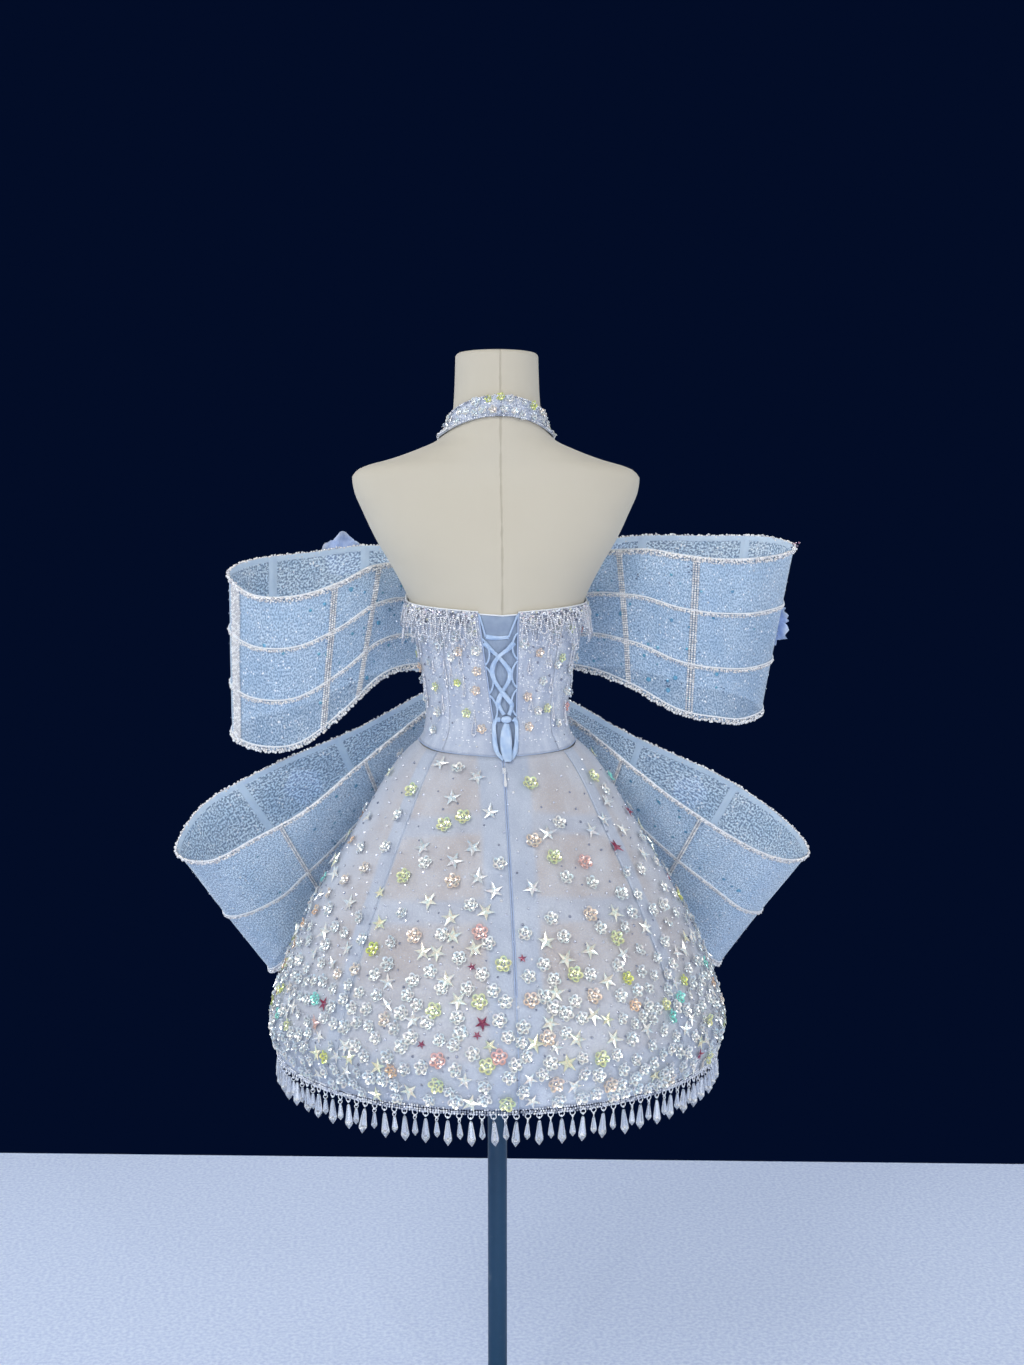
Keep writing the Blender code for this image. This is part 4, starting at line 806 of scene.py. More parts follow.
def buildStand():
    radius, thick, curve = stand["baseRadius"], stand["baseThick"], stand["baseRound"]
    edge = [(radius - curve * (1 - math.sin(t)), thick - curve * (1 - math.cos(t)))
            for t in (1.57, 1.1, 0.7, 0.35, 0.0)]
    turnedPiece("standBase", "stand_base", 128, [(0.0, 0.0), (radius - 0.002, 0.0), (radius, 0.002), *edge,
                                                 (radius - 0.020, thick), (0.0, thick)])
    foot = thick + stand["gap"]
    wide, pole, tall = stand["flangeRadius"], stand["poleRadius"], stand["flangeTall"]
    turnedPiece("standFlange", "stand_flange", 64, [
        (0.0, foot), (wide - 0.001, foot), (wide, foot + 0.001), (wide, foot + 0.0035), (wide - 0.0015, foot + 0.005),
        (pole + 0.010, foot + 0.0058), (pole + 0.0062, foot + 0.0085), (pole + 0.0048, foot + 0.013),
        (pole + 0.0045, foot + 0.0185), (pole + 0.0032, foot + tall), (0.0, foot + tall)])
    low = foot + tall + stand["gap"]
    high = form["bottom"] - stand["gap"]
    turnedPiece("standPole", "stand_pole", 64, [
        (0.0, low), (pole - 0.0006, low), (pole, low + 0.0006), (pole, 0.3), (pole, 0.55), (pole, high - 0.0006),
        (pole - 0.0006, high), (0.0, high)])
    # round screw heads that hold the flange to the base
    heads = bmesh.new()
    ring, lift = stand["screwRing"], stand["screwLift"]
    for k in range(stand["screws"]):
        turn = math.tau * k / stand["screws"] + 0.5
        at = Matrix.Translation((ring * math.sin(turn), ring * math.cos(turn), foot + lift))
        made = bmesh.ops.create_uvsphere(heads, u_segments=20, v_segments=10, radius=stand["screwRadius"], matrix=at)
        for vert in made["verts"]:
            vert.co.z = foot + lift + max(0.0, (vert.co.z - foot - lift) * 0.5)
    finishPiece("standScrews", heads, "zip", "steel")


buildStand()
print("stand built")

# ---- skirt
skirt = {"gores": [("skirtBackLeft", "skirt_back_left", 0.0, 45.0), ("skirtSideLeft", "skirt_side_left", 45.0, 135.0),
                   ("skirtFront", "skirt_front", 135.0, 225.0), ("skirtSideRight", "skirt_side_right", 225.0, 315.0),
                   ("skirtBackRight", "skirt_back_right", 315.0, 360.0)],
         "gap": 0.00015, "rows": 78, "step": 1.25, "ripple": 0.0010}
# doubled cloth: half width of the strip over the zip, width beside a princess seam, and level strips
bands = {"backHalf": 0.034, "princess": 0.024, "levels": [(0.928, 0.012, 50.0), (0.828, 0.014, 46.0)],
         "hem": 0.058, "seam": 0.0032}


def skirtPoint(angle, z, lift=0.0):
    low = max(0.0, 1.0 - (z - cloth["hem"]) / 0.30)
    wave = math.sin(math.radians(angle) * 11.0 + 0.6) + 0.6 * math.sin(math.radians(angle) * 23.0 + 1.9)
    ease = skirt["ripple"] * low * wave
    soft = noise.noise(Vector((math.sin(math.radians(angle)) * 5.0, math.cos(math.radians(angle)) * 5.0, z * 14.0)))
    return skirtSection(angle, z, lift + ease + 0.0012 * soft * min(1.0, max(0.0, (1.0 - z) / 0.05)))


def step(x, low, high):
    s = min(1.0, max(0.0, (x - low) / (high - low)))
    return s * s * (3.0 - 2.0 * s)


def layersAt(angle, z):
    # how much of each look the skirt shows at a place
    turn = folded(angle)
    around = math.radians(turn) * skirtHalf(z)
    band = 0.85 - 0.85 * step(around, bands["backHalf"] - 0.004, bands["backHalf"] + 0.004)
    for seam in (45.0, 135.0):
        off = math.radians(turn - seam) * skirtHalf(z)
        inside = 1.0 - step(off, bands["princess"] - 0.002, bands["princess"] + 0.002)
        band = max(band, 0.75 * step(off, -0.001, 0.002) * inside)
        band = max(band, 1.0 - step(abs(off), 0.0002, bands["seam"]))
    for level, half, reach in bands["levels"]:
        tilt = level - 0.00035 * (turn - 20.0)
        inside = 1.0 - step(abs(z - tilt), half - 0.004, half + 0.004)
        band = max(band, 0.6 * inside * (1.0 - step(turn, reach - 1.0, reach + 1.0)))
    hem = 0.6 * (1.0 - step(z - cloth["hem"], bands["hem"] - 0.004, bands["hem"] + 0.004))
    band = max(band, hem)
    skin = step(z, 0.66, 0.78) * (1.0 - 0.30 * step(z, 0.95, 1.0)) * (1.0 - 0.7 * step(turn, 50.0, 80.0))
    skin = max(skin * 0.95, 0.35 * (1.0 - step(turn, 60.0, 90.0)))
    strip = 0.0
    # a pale turned-up strip just above the hem on one side, painted lighter as a highlight
    if 225.0 < angle % 360.0 < 360.0 - 4.0:
        strip = 0.8 * (1.0 - step(abs(z - cloth["hem"] - 0.014), 0.011, 0.013))
    return band, skin, strip


def buildSkirt():
    for name, node, start, stop in skirt["gores"]:
        pull = math.degrees(skirt["gap"] / 0.2)
        first = start + pull
        last = stop - pull
        columns = round((stop - start) / skirt["step"])

        def pointAt(u, v):
            angle = first + (last - first) * u
            return skirtPoint(angle, cloth["hem"] + (waistZ(angle) - skirt["gap"] - cloth["hem"]) * v)

        def paint(u, v):
            angle = first + (last - first) * u
            return layersAt(angle, cloth["hem"] + (waistZ(angle) - cloth["hem"]) * v)

        size = (math.radians(stop - start) * 0.24, 0.47)
        shape = clothGrid(columns, skirt["rows"], pointAt, size, flip=True, paint=paint)
        finishPiece(name, shape, "skirt", "organza", [node], wall=cloth["skirtWall"])


buildSkirt()
print("skirt built:", len(skirt["gores"]), "gores")

# ---- skirt's sequins: rooms are (height, room of the flowers and stars, room of the stones)
skirtTrim = {"flower": 0.0100, "star": 0.0122, "stone": 0.0019, "pearl": 0.0016,
             "heights": (0.604, 0.640, 0.700, 0.760, 0.820, 0.900, 1.000),
             "big": (0.0160, 0.0168, 0.0182, 0.0225, 0.029, 0.042, 0.056),
             "small": (0.0105, 0.0105, 0.0115, 0.0125, 0.0135, 0.0160, 0.0200), "starShare": 0.20,
             "bigTries": 60000, "smallTries": 30000, "flowerLift": 0.0016, "starLift": 0.0030, "stoneLift": 0.0003}


def skirtNormal(angle, z):
    return facing(skirtPoint, angle, z, 0.6, 0.002)


def drawOnSkirt():
    while True:
        z = dice.uniform(cloth["hem"] + 0.008, 0.998)
        if dice.random() * 0.312 < skirtHalf(z):
            break
    angle = dice.uniform(0.0, 360.0)
    return skirtPoint(angle, z), angle, z


def trimSkirt():
    bigRoom = smoothCurve(skirtTrim["heights"], skirtTrim["big"])
    smallRoom = smoothCurve(skirtTrim["heights"], skirtTrim["small"])
    big = spread(skirtTrim["bigTries"], drawOnSkirt,
                 lambda found: bigRoom(found[2]) * (0.9 if dice.random() < 0.5 else 1.15), 0.02)
    flowers = []
    stars = []
    taken = []
    for kind, places in skirtPlaces.items():
        model, tint = placeLooks[kind]
        for angle, millimetres in places:
            z = millimetres / 1000
            point, normal = skirtPoint(angle, z), skirtNormal(angle, z)
            taken.append(point)
            if model == "star":
                wider = 0.5 if kind == "plumStar" else 1.05
                stars.append((seated(point + normal * skirtTrim["starLift"], normal, skirtTrim["star"] * wider, 0.1),
                              tint))
            else:
                wider = 1.0 if kind == "clear" else 1.12
                flowers.append((seated(point + normal * skirtTrim["flowerLift"], normal,
                                       skirtTrim["flower"] * wider), tint))
    for point, angle, z in big:
        middle = point.y > 0.0 and abs(point.x) < 0.135
        if folded(angle) < 1.6 and z > 0.72 or middle and z > 0.735:
            continue
        if any((point - other).length < 0.0150 for other in taken):
            continue
        normal = skirtNormal(angle, z)
        tilt = dice.gauss(0.0, 0.15)
        if dice.random() < skirtTrim["starShare"] + 0.25 * step(z, 0.72, 0.90):
            size = skirtTrim["star"] * dice.uniform(0.8, 1.1)
            stars.append((seated(point + normal * skirtTrim["starLift"], normal, size, tilt), pickTint(starTints)))
        else:
            size = skirtTrim["flower"] * dice.uniform(0.85, 1.1)
            tint = placeLooks["clear"][1] if middle else pickTint(flowerTints)
            flowers.append((seated(point + normal * skirtTrim["flowerLift"], normal, size, tilt), tint))
    small = spread(skirtTrim["smallTries"], drawOnSkirt, lambda found: smallRoom(found[2]), 0.01)
    stones = []
    pearls = []
    for point, angle, z in small:
        if folded(angle) < 0.9 and z > 0.73:
            continue
        normal = skirtNormal(angle, z)
        if dice.random() < 0.6:
            size = skirtTrim["stone"] * dice.uniform(0.7, 1.15)
            stones.append((seated(point + normal * skirtTrim["stoneLift"], normal, size, dice.gauss(0, 0.15)),
                           dice.choice(beadTints)))
        else:
            size = skirtTrim["pearl"] * dice.uniform(0.7, 1.2)
            pearls.append((seated(point + normal * size * 0.9, normal, size), dice.choice(beadTints)))
    print("skirt trim:", len(flowers), "flowers,", len(stars), "stars,", len(stones), "stones,",
          len(pearls), "pearls")
    scatter("skirtFlowerSequins", flowerShape, flowers, "sequin")
    scatter("skirtStarSequins", starShape, stars, "sequin")
    scatter("skirtStones", stoneShape, stones, "bead")
    scatter("skirtPearls", beadShape, pearls, "bead")


trimSkirt()

# ---- crystal fringe at the hem
hemFringe = {"drops": 136, "radius": 0.3041, "bead": 0.0017, "linkBead": 0.0019, "ring": 0.0033, "wire": 0.00065,
             # link, length and half width of the long drops and of the short ones between them
             "large": (0.009, 0.032, 0.0052), "small": (0.011, 0.022, 0.0039)}


def dropPattern(shape):
    # eight-sided pendant, one unit long, hanging from the origin
    profile = [(0.030, 0.0), (0.055, -0.03), (0.075, -0.12), (0.160, -0.70), (0.150, -0.78), (0.0, -1.0)]
    spunProfile(shape, profile, 8, 0.001)
    bmesh.ops.holes_fill(shape, edges=shape.edges[:], sides=12)
    bmesh.ops.recalc_face_normals(shape, faces=shape.faces[:])


def ringPattern(shape):
    # wire ring standing in the XZ plane
    made = bmesh.ops.create_circle(shape, segments=5, radius=hemFringe["wire"] / hemFringe["ring"],
                                   matrix=Matrix.Translation((1.0, 0.0, 0.0)) @ Matrix.Rotation(math.pi / 2, 4, "X"))
    spun(shape, made["verts"] + shape.edges[:], 12)
    bmesh.ops.rotate(shape, verts=shape.verts[:], cent=(0, 0, 0), matrix=Matrix.Rotation(math.pi / 2, 3, "X"))
    bmesh.ops.remove_doubles(shape, verts=shape.verts[:], dist=0.001)
    bmesh.ops.recalc_face_normals(shape, faces=shape.faces[:])


def buildHemFringe():
    drops = []
    rings = []
    beads = []
    foot = cloth["hem"] - 0.0003
    for k in range(hemFringe["drops"]):
        turn = math.tau * (k + 0.15) / hemFringe["drops"]
        link, length, half = hemFringe["large"] if k % 2 == 0 else hemFringe["small"]
        swing = dice.gauss(0.0, 0.03)
        swayed = dice.gauss(0.0, 0.025)
        at = Vector((math.sin(turn), math.cos(turn), 0.0)) * hemFringe["radius"] + up * (foot - 0.006)
        hang = (Matrix.Translation(at) @ Matrix.Rotation(-turn, 4, "Z") @ Matrix.Rotation(swing, 4, "Y")
                @ Matrix.Rotation(swayed, 4, "X"))
        wide = half / 0.160
        spin = Matrix.Rotation(dice.choice((0.0, math.pi / 8)), 4, "Z")
        drops.append((hang @ Matrix.Translation((0, 0, -link)) @ spin @ Matrix.Diagonal((wide, wide, length, 1.0)),
                      beadTints[0]))
        ring = hemFringe["ring"]
        rings.append((hang @ Matrix.Translation((0, 0, -ring * 0.8)) @ Matrix.Diagonal((ring, ring, ring, 1.0)),
                      trimTints[2]))
        if link > 0.010:
            rings.append((hang @ Matrix.Translation((0, 0, -link + ring * 0.7)) @ Matrix.Rotation(1.2, 4, "Z")
                          @ Matrix.Diagonal((ring * 0.8, ring * 0.8, ring * 0.8, 1.0)), trimTints[2]))
        small = hemFringe["linkBead"]
        beads.append((hang @ Matrix.Translation((0, 0, -link * 0.62)) @ Matrix.Diagonal((small, small, small, 1.0)),
                      beadTints[0]))
    for row, lift in ((0.0, 0.0), (0.0032, 0.0007), (0.0062, 0.0)):
        radius = hemFringe["radius"] + lift

        def rim(share):
            turn = math.tau * share
            return Vector((math.sin(turn) * radius, math.cos(turn) * radius,
                           foot - row + 0.0004 * math.sin(turn * 90)))

        beads += strung(rim, 0.0034, hemFringe["bead"], beadTints, 0.0002, 900)[:-1]
    scatter("hemDrops", patternMesh(dropPattern), drops, "crystal", stands=["crystal_fringe"])
    scatter("hemRings", patternMesh(ringPattern), rings, "zip", smooth=True)
    scatter("hemBeads", beadShape, beads, "bead")
    print("hem fringe:", len(drops), "drops,", len(beads), "beads")


buildHemFringe()


# ---- bodice, satin panel and lacing
def openingAngle(share, atWaist, atTop, z):
    return math.degrees(math.asin((atWaist + (atTop - atWaist) * share) / formHalf(z)))


def backZ(share):
    return waistZ(0.0) + (topZ(0.0) - waistZ(0.0)) * share


def leftEdge(share):
    return openingAngle(share, opening["leftWaist"], opening["leftTop"], backZ(share))


def rightEdge(share):
    return 360.0 + openingAngle(share, opening["rightWaist"], opening["rightTop"], backZ(share))


bodice = {"rows": 44, "step": 1.5, "gap": 0.00015}
bodicePlans = [
    ("bodiceBackLeft", "bodice_back_left", leftEdge, lambda share: 45.0),
    ("bodiceSideLeft", "bodice_side_left", lambda share: 45.0, lambda share: 135.0),
    ("bodiceFront", "bodice_front", lambda share: 135.0, lambda share: 225.0),
    ("bodiceSideRight", "bodice_side_right", lambda share: 225.0, lambda share: 315.0),
    ("bodiceBackRight", "bodice_back_right", lambda share: 315.0, rightEdge),
]


def bodicePoint(angle, z, lift=0.0):
    turn = folded(angle)
    # pads of the boning channels stand a little proud
    seam = sum(math.exp(-((turn - at) * 0.0019 / 0.0016) ** 2) for at in (45.0, 90.0, 135.0))
    soft = noise.noise(Vector((angle * 0.09, z * 30.0, 3.0)))
    return formPoint(angle, z, cloth["bodiceLift"] + lift - 0.0005 * seam + 0.0004 * soft)


def buildBodice():
    for name, node, start, stop in bodicePlans:
        def pointAt(u, v):
            first = start(v) + 0.08
            last = stop(v) - 0.08
            angle = first + (last - first) * u
            low = waistZ(angle) + bodice["gap"]
            return bodicePoint(angle, low + (topZ(angle) - low) * v)

        wide = math.radians(stop(0.5) - start(0.5))
        shape = clothGrid(max(10, round(math.degrees(wide) / bodice["step"])), bodice["rows"], pointAt,
                          (wide * 0.105, 0.20), flip=True)
        finishPiece(name, shape, "tulle", "bodice_cloth", [node], wall=cloth["bodiceWall"])

    def panelAt(u, v):
        angle = opening["panel"] * (2.0 * u - 1.0)
        trim = 0.003
        z = waistZ(angle) + trim + (topZ(angle) - waistZ(angle) - 2.0 * trim) * v
        crease = 0.0003 * math.sin(angle * 1.9 + 3.0 * math.sin(v * 7.0)) * math.sin(math.pi * v)
        return formPoint(angle, z, cloth["panelLift"] + crease)

    shape = clothGrid(60, 60, panelAt, (0.10, 0.185), flip=True)
    finishPiece("modestyPanel", shape, "panel", "satin", ["modesty_panel"], wall=0.0009)


buildBodice()
print("bodice built:", len(bodicePlans), "panels")

# ribbons over the back, as rows of x, height and lift over the bodice
laceRows = {
    "laceBar": [(0.0215, 1.1665, -0.0022), (0.0070, 1.1650, -0.0022), (-0.0085, 1.1660, -0.0022)],
    "laceRibbonA": [(0.0235, 1.1590, 0.0), (0.0150, 1.1500, 0.0), (0.0045, 1.1395, 0.0), (-0.0060, 1.1270, 0.0),
                    (-0.0105, 1.1170, 0.0), (-0.0080, 1.1060, 0.0), (-0.0020, 1.0950, 0.0), (0.0030, 1.0850, 0.0),
                    (0.0045, 1.0765, 0.0), (0.0005, 1.0680, 0.0), (-0.0030, 1.0618, 0.0)],
    "laceRibbonB": [(-0.0150, 1.1590, 0.0014), (-0.0070, 1.1500, 0.0014), (0.0030, 1.1420, 0.0014),
                    (0.0105, 1.1310, 0.0014), (0.0125, 1.1190, 0.0014), (0.0090, 1.1075, 0.0014),
                    (0.0020, 1.0960, 0.0014), (-0.0060, 1.0850, 0.0014), (-0.0125, 1.0760, 0.0014),
                    (-0.0115, 1.0680, 0.0014), (-0.0090, 1.0618, 0.0014)],
    "laceLoopLeft": [(0.0018, 1.0555, 0.0006), (0.0070, 1.0550, 0.0010), (0.0100, 1.0480, 0.0014),
                     (0.0098, 1.0340, 0.0020), (0.0086, 1.0200, 0.0018), (0.0056, 1.0110, 0.0022),
                     (-0.0008, 1.0045, 0.0060)],
    "laceLoopMiddle": [(-0.0060, 1.0504, 0.0010), (-0.0050, 1.0400, 0.0034), (-0.0045, 1.0260, 0.0042),
                       (-0.0050, 1.0120, 0.0060), (-0.0055, 1.0025, 0.0115)],
    "laceLoopRight": [(-0.0146, 1.0562, 0.0006), (-0.0182, 1.0528, 0.0010), (-0.0190, 1.0400, 0.0014),
                      (-0.0178, 1.0220, 0.0016), (-0.0145, 1.0110, 0.0024), (-0.0092, 1.0045, 0.0062)],
}
lacing = {"wide": 0.0064, "middleWide": 0.0128, "lift": 0.0046, "knot": (-0.0056, 1.0556, 0.0068, 0.0047),
          "loops": 3, "cord": 0.0014, "piping": 0.0011, "waistPiping": 0.0008}


def backPoint(x, z, lift):
    return formPoint(math.degrees(math.asin(x / formHalf(z))), z, lift)


def laceRibbon(name, node):
    rows = laceRows[name]
    last = len(rows) - 1
    middle = name == "laceLoopMiddle"
    wide = lacing["middleWide" if middle else "wide"]

    def pointAt(u, v):
        at = u * last
        x, z, lift = throughRows(rows, at)
        after = throughRows(rows, min(at + 0.02, last))
        before = throughRows(rows, max(at - 0.02, 0.0))
        along = Vector((after[0] - before[0], after[1] - before[1])).normalized()
        side = v - 0.5
        roll = 0.0006 * (1.0 - 4.0 * side * side) + 0.0005 * math.sin(at * 2.3 + side * 5.0)
        narrow = wide * (0.86 + 0.14 * math.cos(at * 1.7))
        if middle:
            narrow = wide * (0.30 + 0.85 * math.sin(math.pi * (0.08 + 0.80 * u)))
        return backPoint(x - along.y * narrow * side, z + along.x * narrow * side,
                         lacing["lift"] + lift + 0.0004 + roll)

    long = sum(math.dist(a[:2], b[:2]) for a, b in zip(rows, rows[1:]))
    finishPiece(name, clothGrid(last * 8, 6, pointAt, (long, wide)), "ribbon", "satin", [node], wall=0.0004)


def buildLacing():
    for name, node in (("laceBar", "lace_bar"), ("laceRibbonA", "lace_ribbon_a"), ("laceRibbonB", "lace_ribbon_b"),
                       ("laceLoopLeft", "lace_loop_left"), ("laceLoopMiddle", "lace_loop_middle"),
                       ("laceLoopRight", "lace_loop_right")):
        laceRibbon(name, node)
    x, z, wide, tall = lacing["knot"]
    knot = bmesh.new()
    bmesh.ops.create_icosphere(knot, subdivisions=4, radius=1.0)
    for vert in knot.verts:
        pleat = 1.0 + 0.10 * math.sin(vert.co.x * 9.0 + vert.co.z * 4.0)
        lift = lacing["lift"] + 0.0022 + 0.0020 * vert.co.y * pleat
        vert.co = backPoint(x + wide * vert.co.x, z + tall * vert.co.z, lift)
    bmesh.ops.recalc_face_normals(knot, faces=knot.faces[:])
    finishPiece("laceKnot", knot, "ribbon", "satin", ["lace_knot"])
    # small rouleau loops along both edges of the opening, and the piping that they are sewn to
    lines = []
    for side, edge in ((-1.0, leftEdge), (1.0, rightEdge)):
        for k in range(lacing["loops"]):
            low = 0.26 + 0.20 * k + 0.02 * side
            lines.append([])
            for bend in range(15):
                t = bend / 14.0
                share = low + 0.185 * t
                z = backZ(share)
                inward = side * 0.0074 * math.sin(math.pi * t) ** 0.7
                angle = edge(share) + math.degrees(inward / formHalf(z))
                lines[-1].append(formPoint(angle, z, 0.0046 + 0.0012 * math.sin(math.pi * t)))
    # thin cords from the opening's top corners to the ends of the bar
    for corner, end in ((0.0295, 0.0215), (-0.0190, -0.0085)):
        lines.append([backPoint(corner + (end - corner) * t, 1.1950 - 0.0285 * t, 0.0052 - 0.0022 * t)
                      for t in (0.0, 0.2, 0.4, 0.6, 0.8, 1.0)])
    meshPiece("laceLoops", cordMesh(lines, lacing["cord"]), "ribbon", "satin")
    edges = [[bodicePoint(edge(k / 40.0), backZ(k / 40.0), 0.0002) for k in range(41)]
             for edge in (leftEdge, rightEdge)]
    meshPiece("openingPiping", cordMesh(edges, lacing["piping"]), "piping", "satin")


buildLacing()
print("lacing built:", len(laceRows), "ribbons")


def edgeLine(zAt, lift, count=240):
    first = leftEdge(1.0) if zAt is topZ else 0.0
    last = rightEdge(1.0) if zAt is topZ else 360.0
    angles = [first + (last - first) * k / count for k in range(count + 1)]
    return [formPoint(angle, zAt(angle), lift) for angle in angles]


panelTop = [formPoint(half / 2.0, topZ(half / 2.0) - 0.0030, cloth["panelLift"] + 0.0004) for half in range(-22, 34)]
topLine = edgeLine(topZ, cloth["bodiceLift"] - 0.0002)
meshPiece("topPiping", cordMesh([topLine, panelTop], lacing["piping"]), "cord", "satin")
waistLine = edgeLine(waistZ, cloth["bodiceLift"] + 0.0003)[:-1]
meshPiece("waistPiping", cordMesh([waistLine], lacing["waistPiping"], closed=True), "piping", "satin")

# ---- bodice's beading: depths under the top edge and the room of the stones there
bodiceTrim = {"depths": (0.0, 0.014, 0.026, 0.045, 0.090, 0.150, 0.200),
              "stones": (0.0034, 0.0036, 0.0046, 0.0072, 0.0095, 0.0150, 0.0260),
              "flower": 0.0074, "flowerRoom": 0.034, "stone": 0.0019, "strands": 200, "strandBead": 0.00105,
              "strandPitch": 0.0022, "strandEnd": (0.0019, 0.0019, 0.0026), "flowerLift": 0.0012,
              "stoneTries": 20000, "flowerTries": 3000}


def drawOnBodice():
    angle = dice.uniform(leftEdge(1.0) + 1.5, rightEdge(1.0) - 1.5)
    top = topZ(angle)
    z = dice.uniform(waistZ(angle) + 0.010, top - 0.001)
    share = min(max((z - waistZ(0.0)) / (topZ(0.0) - waistZ(0.0)), 0.0), 1.0)
    inside = leftEdge(share) + 3.4 < angle < rightEdge(share) - 3.4
    return bodicePoint(angle, z), angle, z, inside


def hangingLoop(angle, z, drop, wide, lift):
    # a thread of beads that leaves the cloth, hangs down and comes back
    def at(t):
        depth = drop * math.sin(math.pi * t) ** 0.7
        side = wide * math.sin(math.tau * t - math.pi) * (0.6 + 0.4 * math.sin(math.pi * t))
        off = lift * math.sin(math.pi * t)
        turn = angle + math.degrees(side / formHalf(z - depth))
        return formPoint(turn, z - depth, cloth["bodiceLift"] + 0.0012 + off)

    return at


def trimBodice():
    stoneRoom = smoothCurve(bodiceTrim["depths"], bodiceTrim["stones"])

    def room(found):
        return stoneRoom(topZ(found[1]) - found[2]) if found[3] else 0.0

    spots = spread(bodiceTrim["stoneTries"], drawOnBodice, room, 0.006)
    stones = []
    pearls = []
    for point, angle, z, inside in spots:
        normal = formNormal(angle, z)
        size = bodiceTrim["stone"] * dice.uniform(0.55, 1.15)
        high = step(z, topZ(angle) - 0.03, topZ(angle))
        if dice.random() < 0.5:
            stones.append((seated(point + normal * (0.0004 + 0.0012 * high * dice.random()), normal, size,
                                  dice.gauss(0, 0.3)), dice.choice(beadTints)))
        else:
            pearls.append((seated(point + normal * size * (0.8 + high * dice.random()), normal, size * 0.85),
                           dice.choice(beadTints)))
    flowers = []
    taken = []
    for kind, places in bodicePlaces.items():
        for angle, millimetres in places:
            z = millimetres / 1000
            point, normal = bodicePoint(angle % 360.0, z), formNormal(angle, z)
            taken.append(point)
            flowers.append((seated(point + normal * bodiceTrim["flowerLift"], normal, bodiceTrim["flower"] * 0.95),
                            placeLooks[kind][1]))

    def flowerRoom(found):
        return bodiceTrim["flowerRoom"] * dice.uniform(0.6, 1.1) if found[3] else 0.0

    for point, angle, z, inside in spread(bodiceTrim["flowerTries"], drawOnBodice, flowerRoom, 0.02):
        if z < waistZ(angle) + 0.020 or z > topZ(angle) - 0.010 or folded(angle) < 50.0 and z < 1.075:
            continue
        if any((point - other).length < 0.018 for other in taken):
            continue
        normal = formNormal(angle, z)
        flowers.append((seated(point + normal * bodiceTrim["flowerLift"], normal,
                               bodiceTrim["flower"] * dice.uniform(0.75, 1.1), dice.gauss(0, 0.2)),
                        pickTint(flowerTints)))
    strands = []
    for k in range(bodiceTrim["strands"]):
        point, angle, z, inside = drawOnBodice()
        low = waistZ(angle)
        if not inside or z < low + 0.055 or dice.random() > 0.35 + 0.65 * step(z, low + 0.08, topZ(angle)):
            continue
        drop = dice.uniform(0.014, 0.036)
        path = hangingLoop(angle, z, drop, dice.uniform(0.0016, 0.0036), 0.0012)
        strands += strung(path, bodiceTrim["strandPitch"], bodiceTrim["strandBead"], clearTints, 0.0, 60)
        strands.append((sized(path(0.5), *bodiceTrim["strandEnd"]), beadTints[0]))
    print("bodice trim:", len(stones), "stones,", len(flowers), "flowers,", len(strands), "strand beads")
    scatter("bodiceStones", stoneShape, stones, "bead")
    scatter("bodicePearls", beadShape, pearls, "bead")
    scatter("bodiceFlowerSequins", flowerShape, flowers, "sequin")
    scatter("bodiceStrands", beadShape, strands, "bead")


trimBodice()

# ---- bead fringe that hangs from the top edge
topFringe = {"loops": 96, "bead": 0.00130, "out": 0.0085, "drops": (0.012, 0.044), "wide": (0.0030, 0.0062),
             "pitch": 0.0026, "drop": (0.013, 0.013, 0.0085), "cluster": 1350}
clusterTints = [(0.10, 0.11, 0.16), (0.14, 0.16, 0.22), (0.94, 0.93, 0.66), (0.84, 0.70, 0.76), (1.0, 1.0, 1.0)]


def buildTopFringe():
    first = leftEdge(1.0) + 1.2
    last = rightEdge(1.0) - 1.2
    beads = []
    drops = []
    for k in range(topFringe["loops"]):
        angle = first + (last - first) * (k + dice.uniform(0.1, 0.9)) / topFringe["loops"]
        front = abs(angle - 180.0) < 24.0
        drop = dice.uniform(0.010, 0.016) if front else dice.uniform(*topFringe["drops"])
        share = dice.uniform(0.3, 1.0)
        out = 0.0015 if front else topFringe["out"] * share
        z = topZ(angle) - 0.002 - dice.uniform(0.0, 0.006)
        wide = dice.uniform(*topFringe["wide"])

        def at(t):
            depth = drop * math.sin(math.pi * t) ** 0.75
            side = wide * math.sin(math.tau * t - math.pi)
            turn = angle + math.degrees(side / formHalf(z))
            rim = formPoint(turn, z, cloth["bodiceLift"] + 0.0010 + out * math.sin(math.pi * t) ** 0.5)
            plumb = Vector((rim.x, rim.y, z - depth))
            near = formPoint(turn, z - depth, cloth["bodiceLift"] + 0.0016)
            return near if near.xy.length > plumb.xy.length else plumb

        beads += strung(at, topFringe["pitch"], topFringe["bead"], clearTints, 0.0, 70)
        drops.append((sized(at(0.5), *topFringe["drop"]), beadTints[0]))
    clusters = []
    for k in range(topFringe["cluster"]):
        angle = dice.uniform(first, last)
        z = topZ(angle) - 0.0010 - abs(dice.gauss(0.0, 0.0090))
        normal = formNormal(angle, z)
        size = dice.uniform(0.0012, 0.0021)
        lift = 0.0012 + dice.random() * 0.0022
        clusters.append((seated(bodicePoint(angle, z) + normal * lift, normal, size, dice.gauss(0, 0.6)),
                         dice.choice(beadTints + clusterTints)))
    scatter("topFringeBeads", beadShape, beads, "bead", stands=["bodice_fringe"])
    scatter("topFringeDrops", patternMesh(dropPattern), drops, "crystal")
    scatter("topFringeStones", stoneShape, clusters, "bead")
    print("top fringe:", len(beads), "beads")


buildTopFringe()

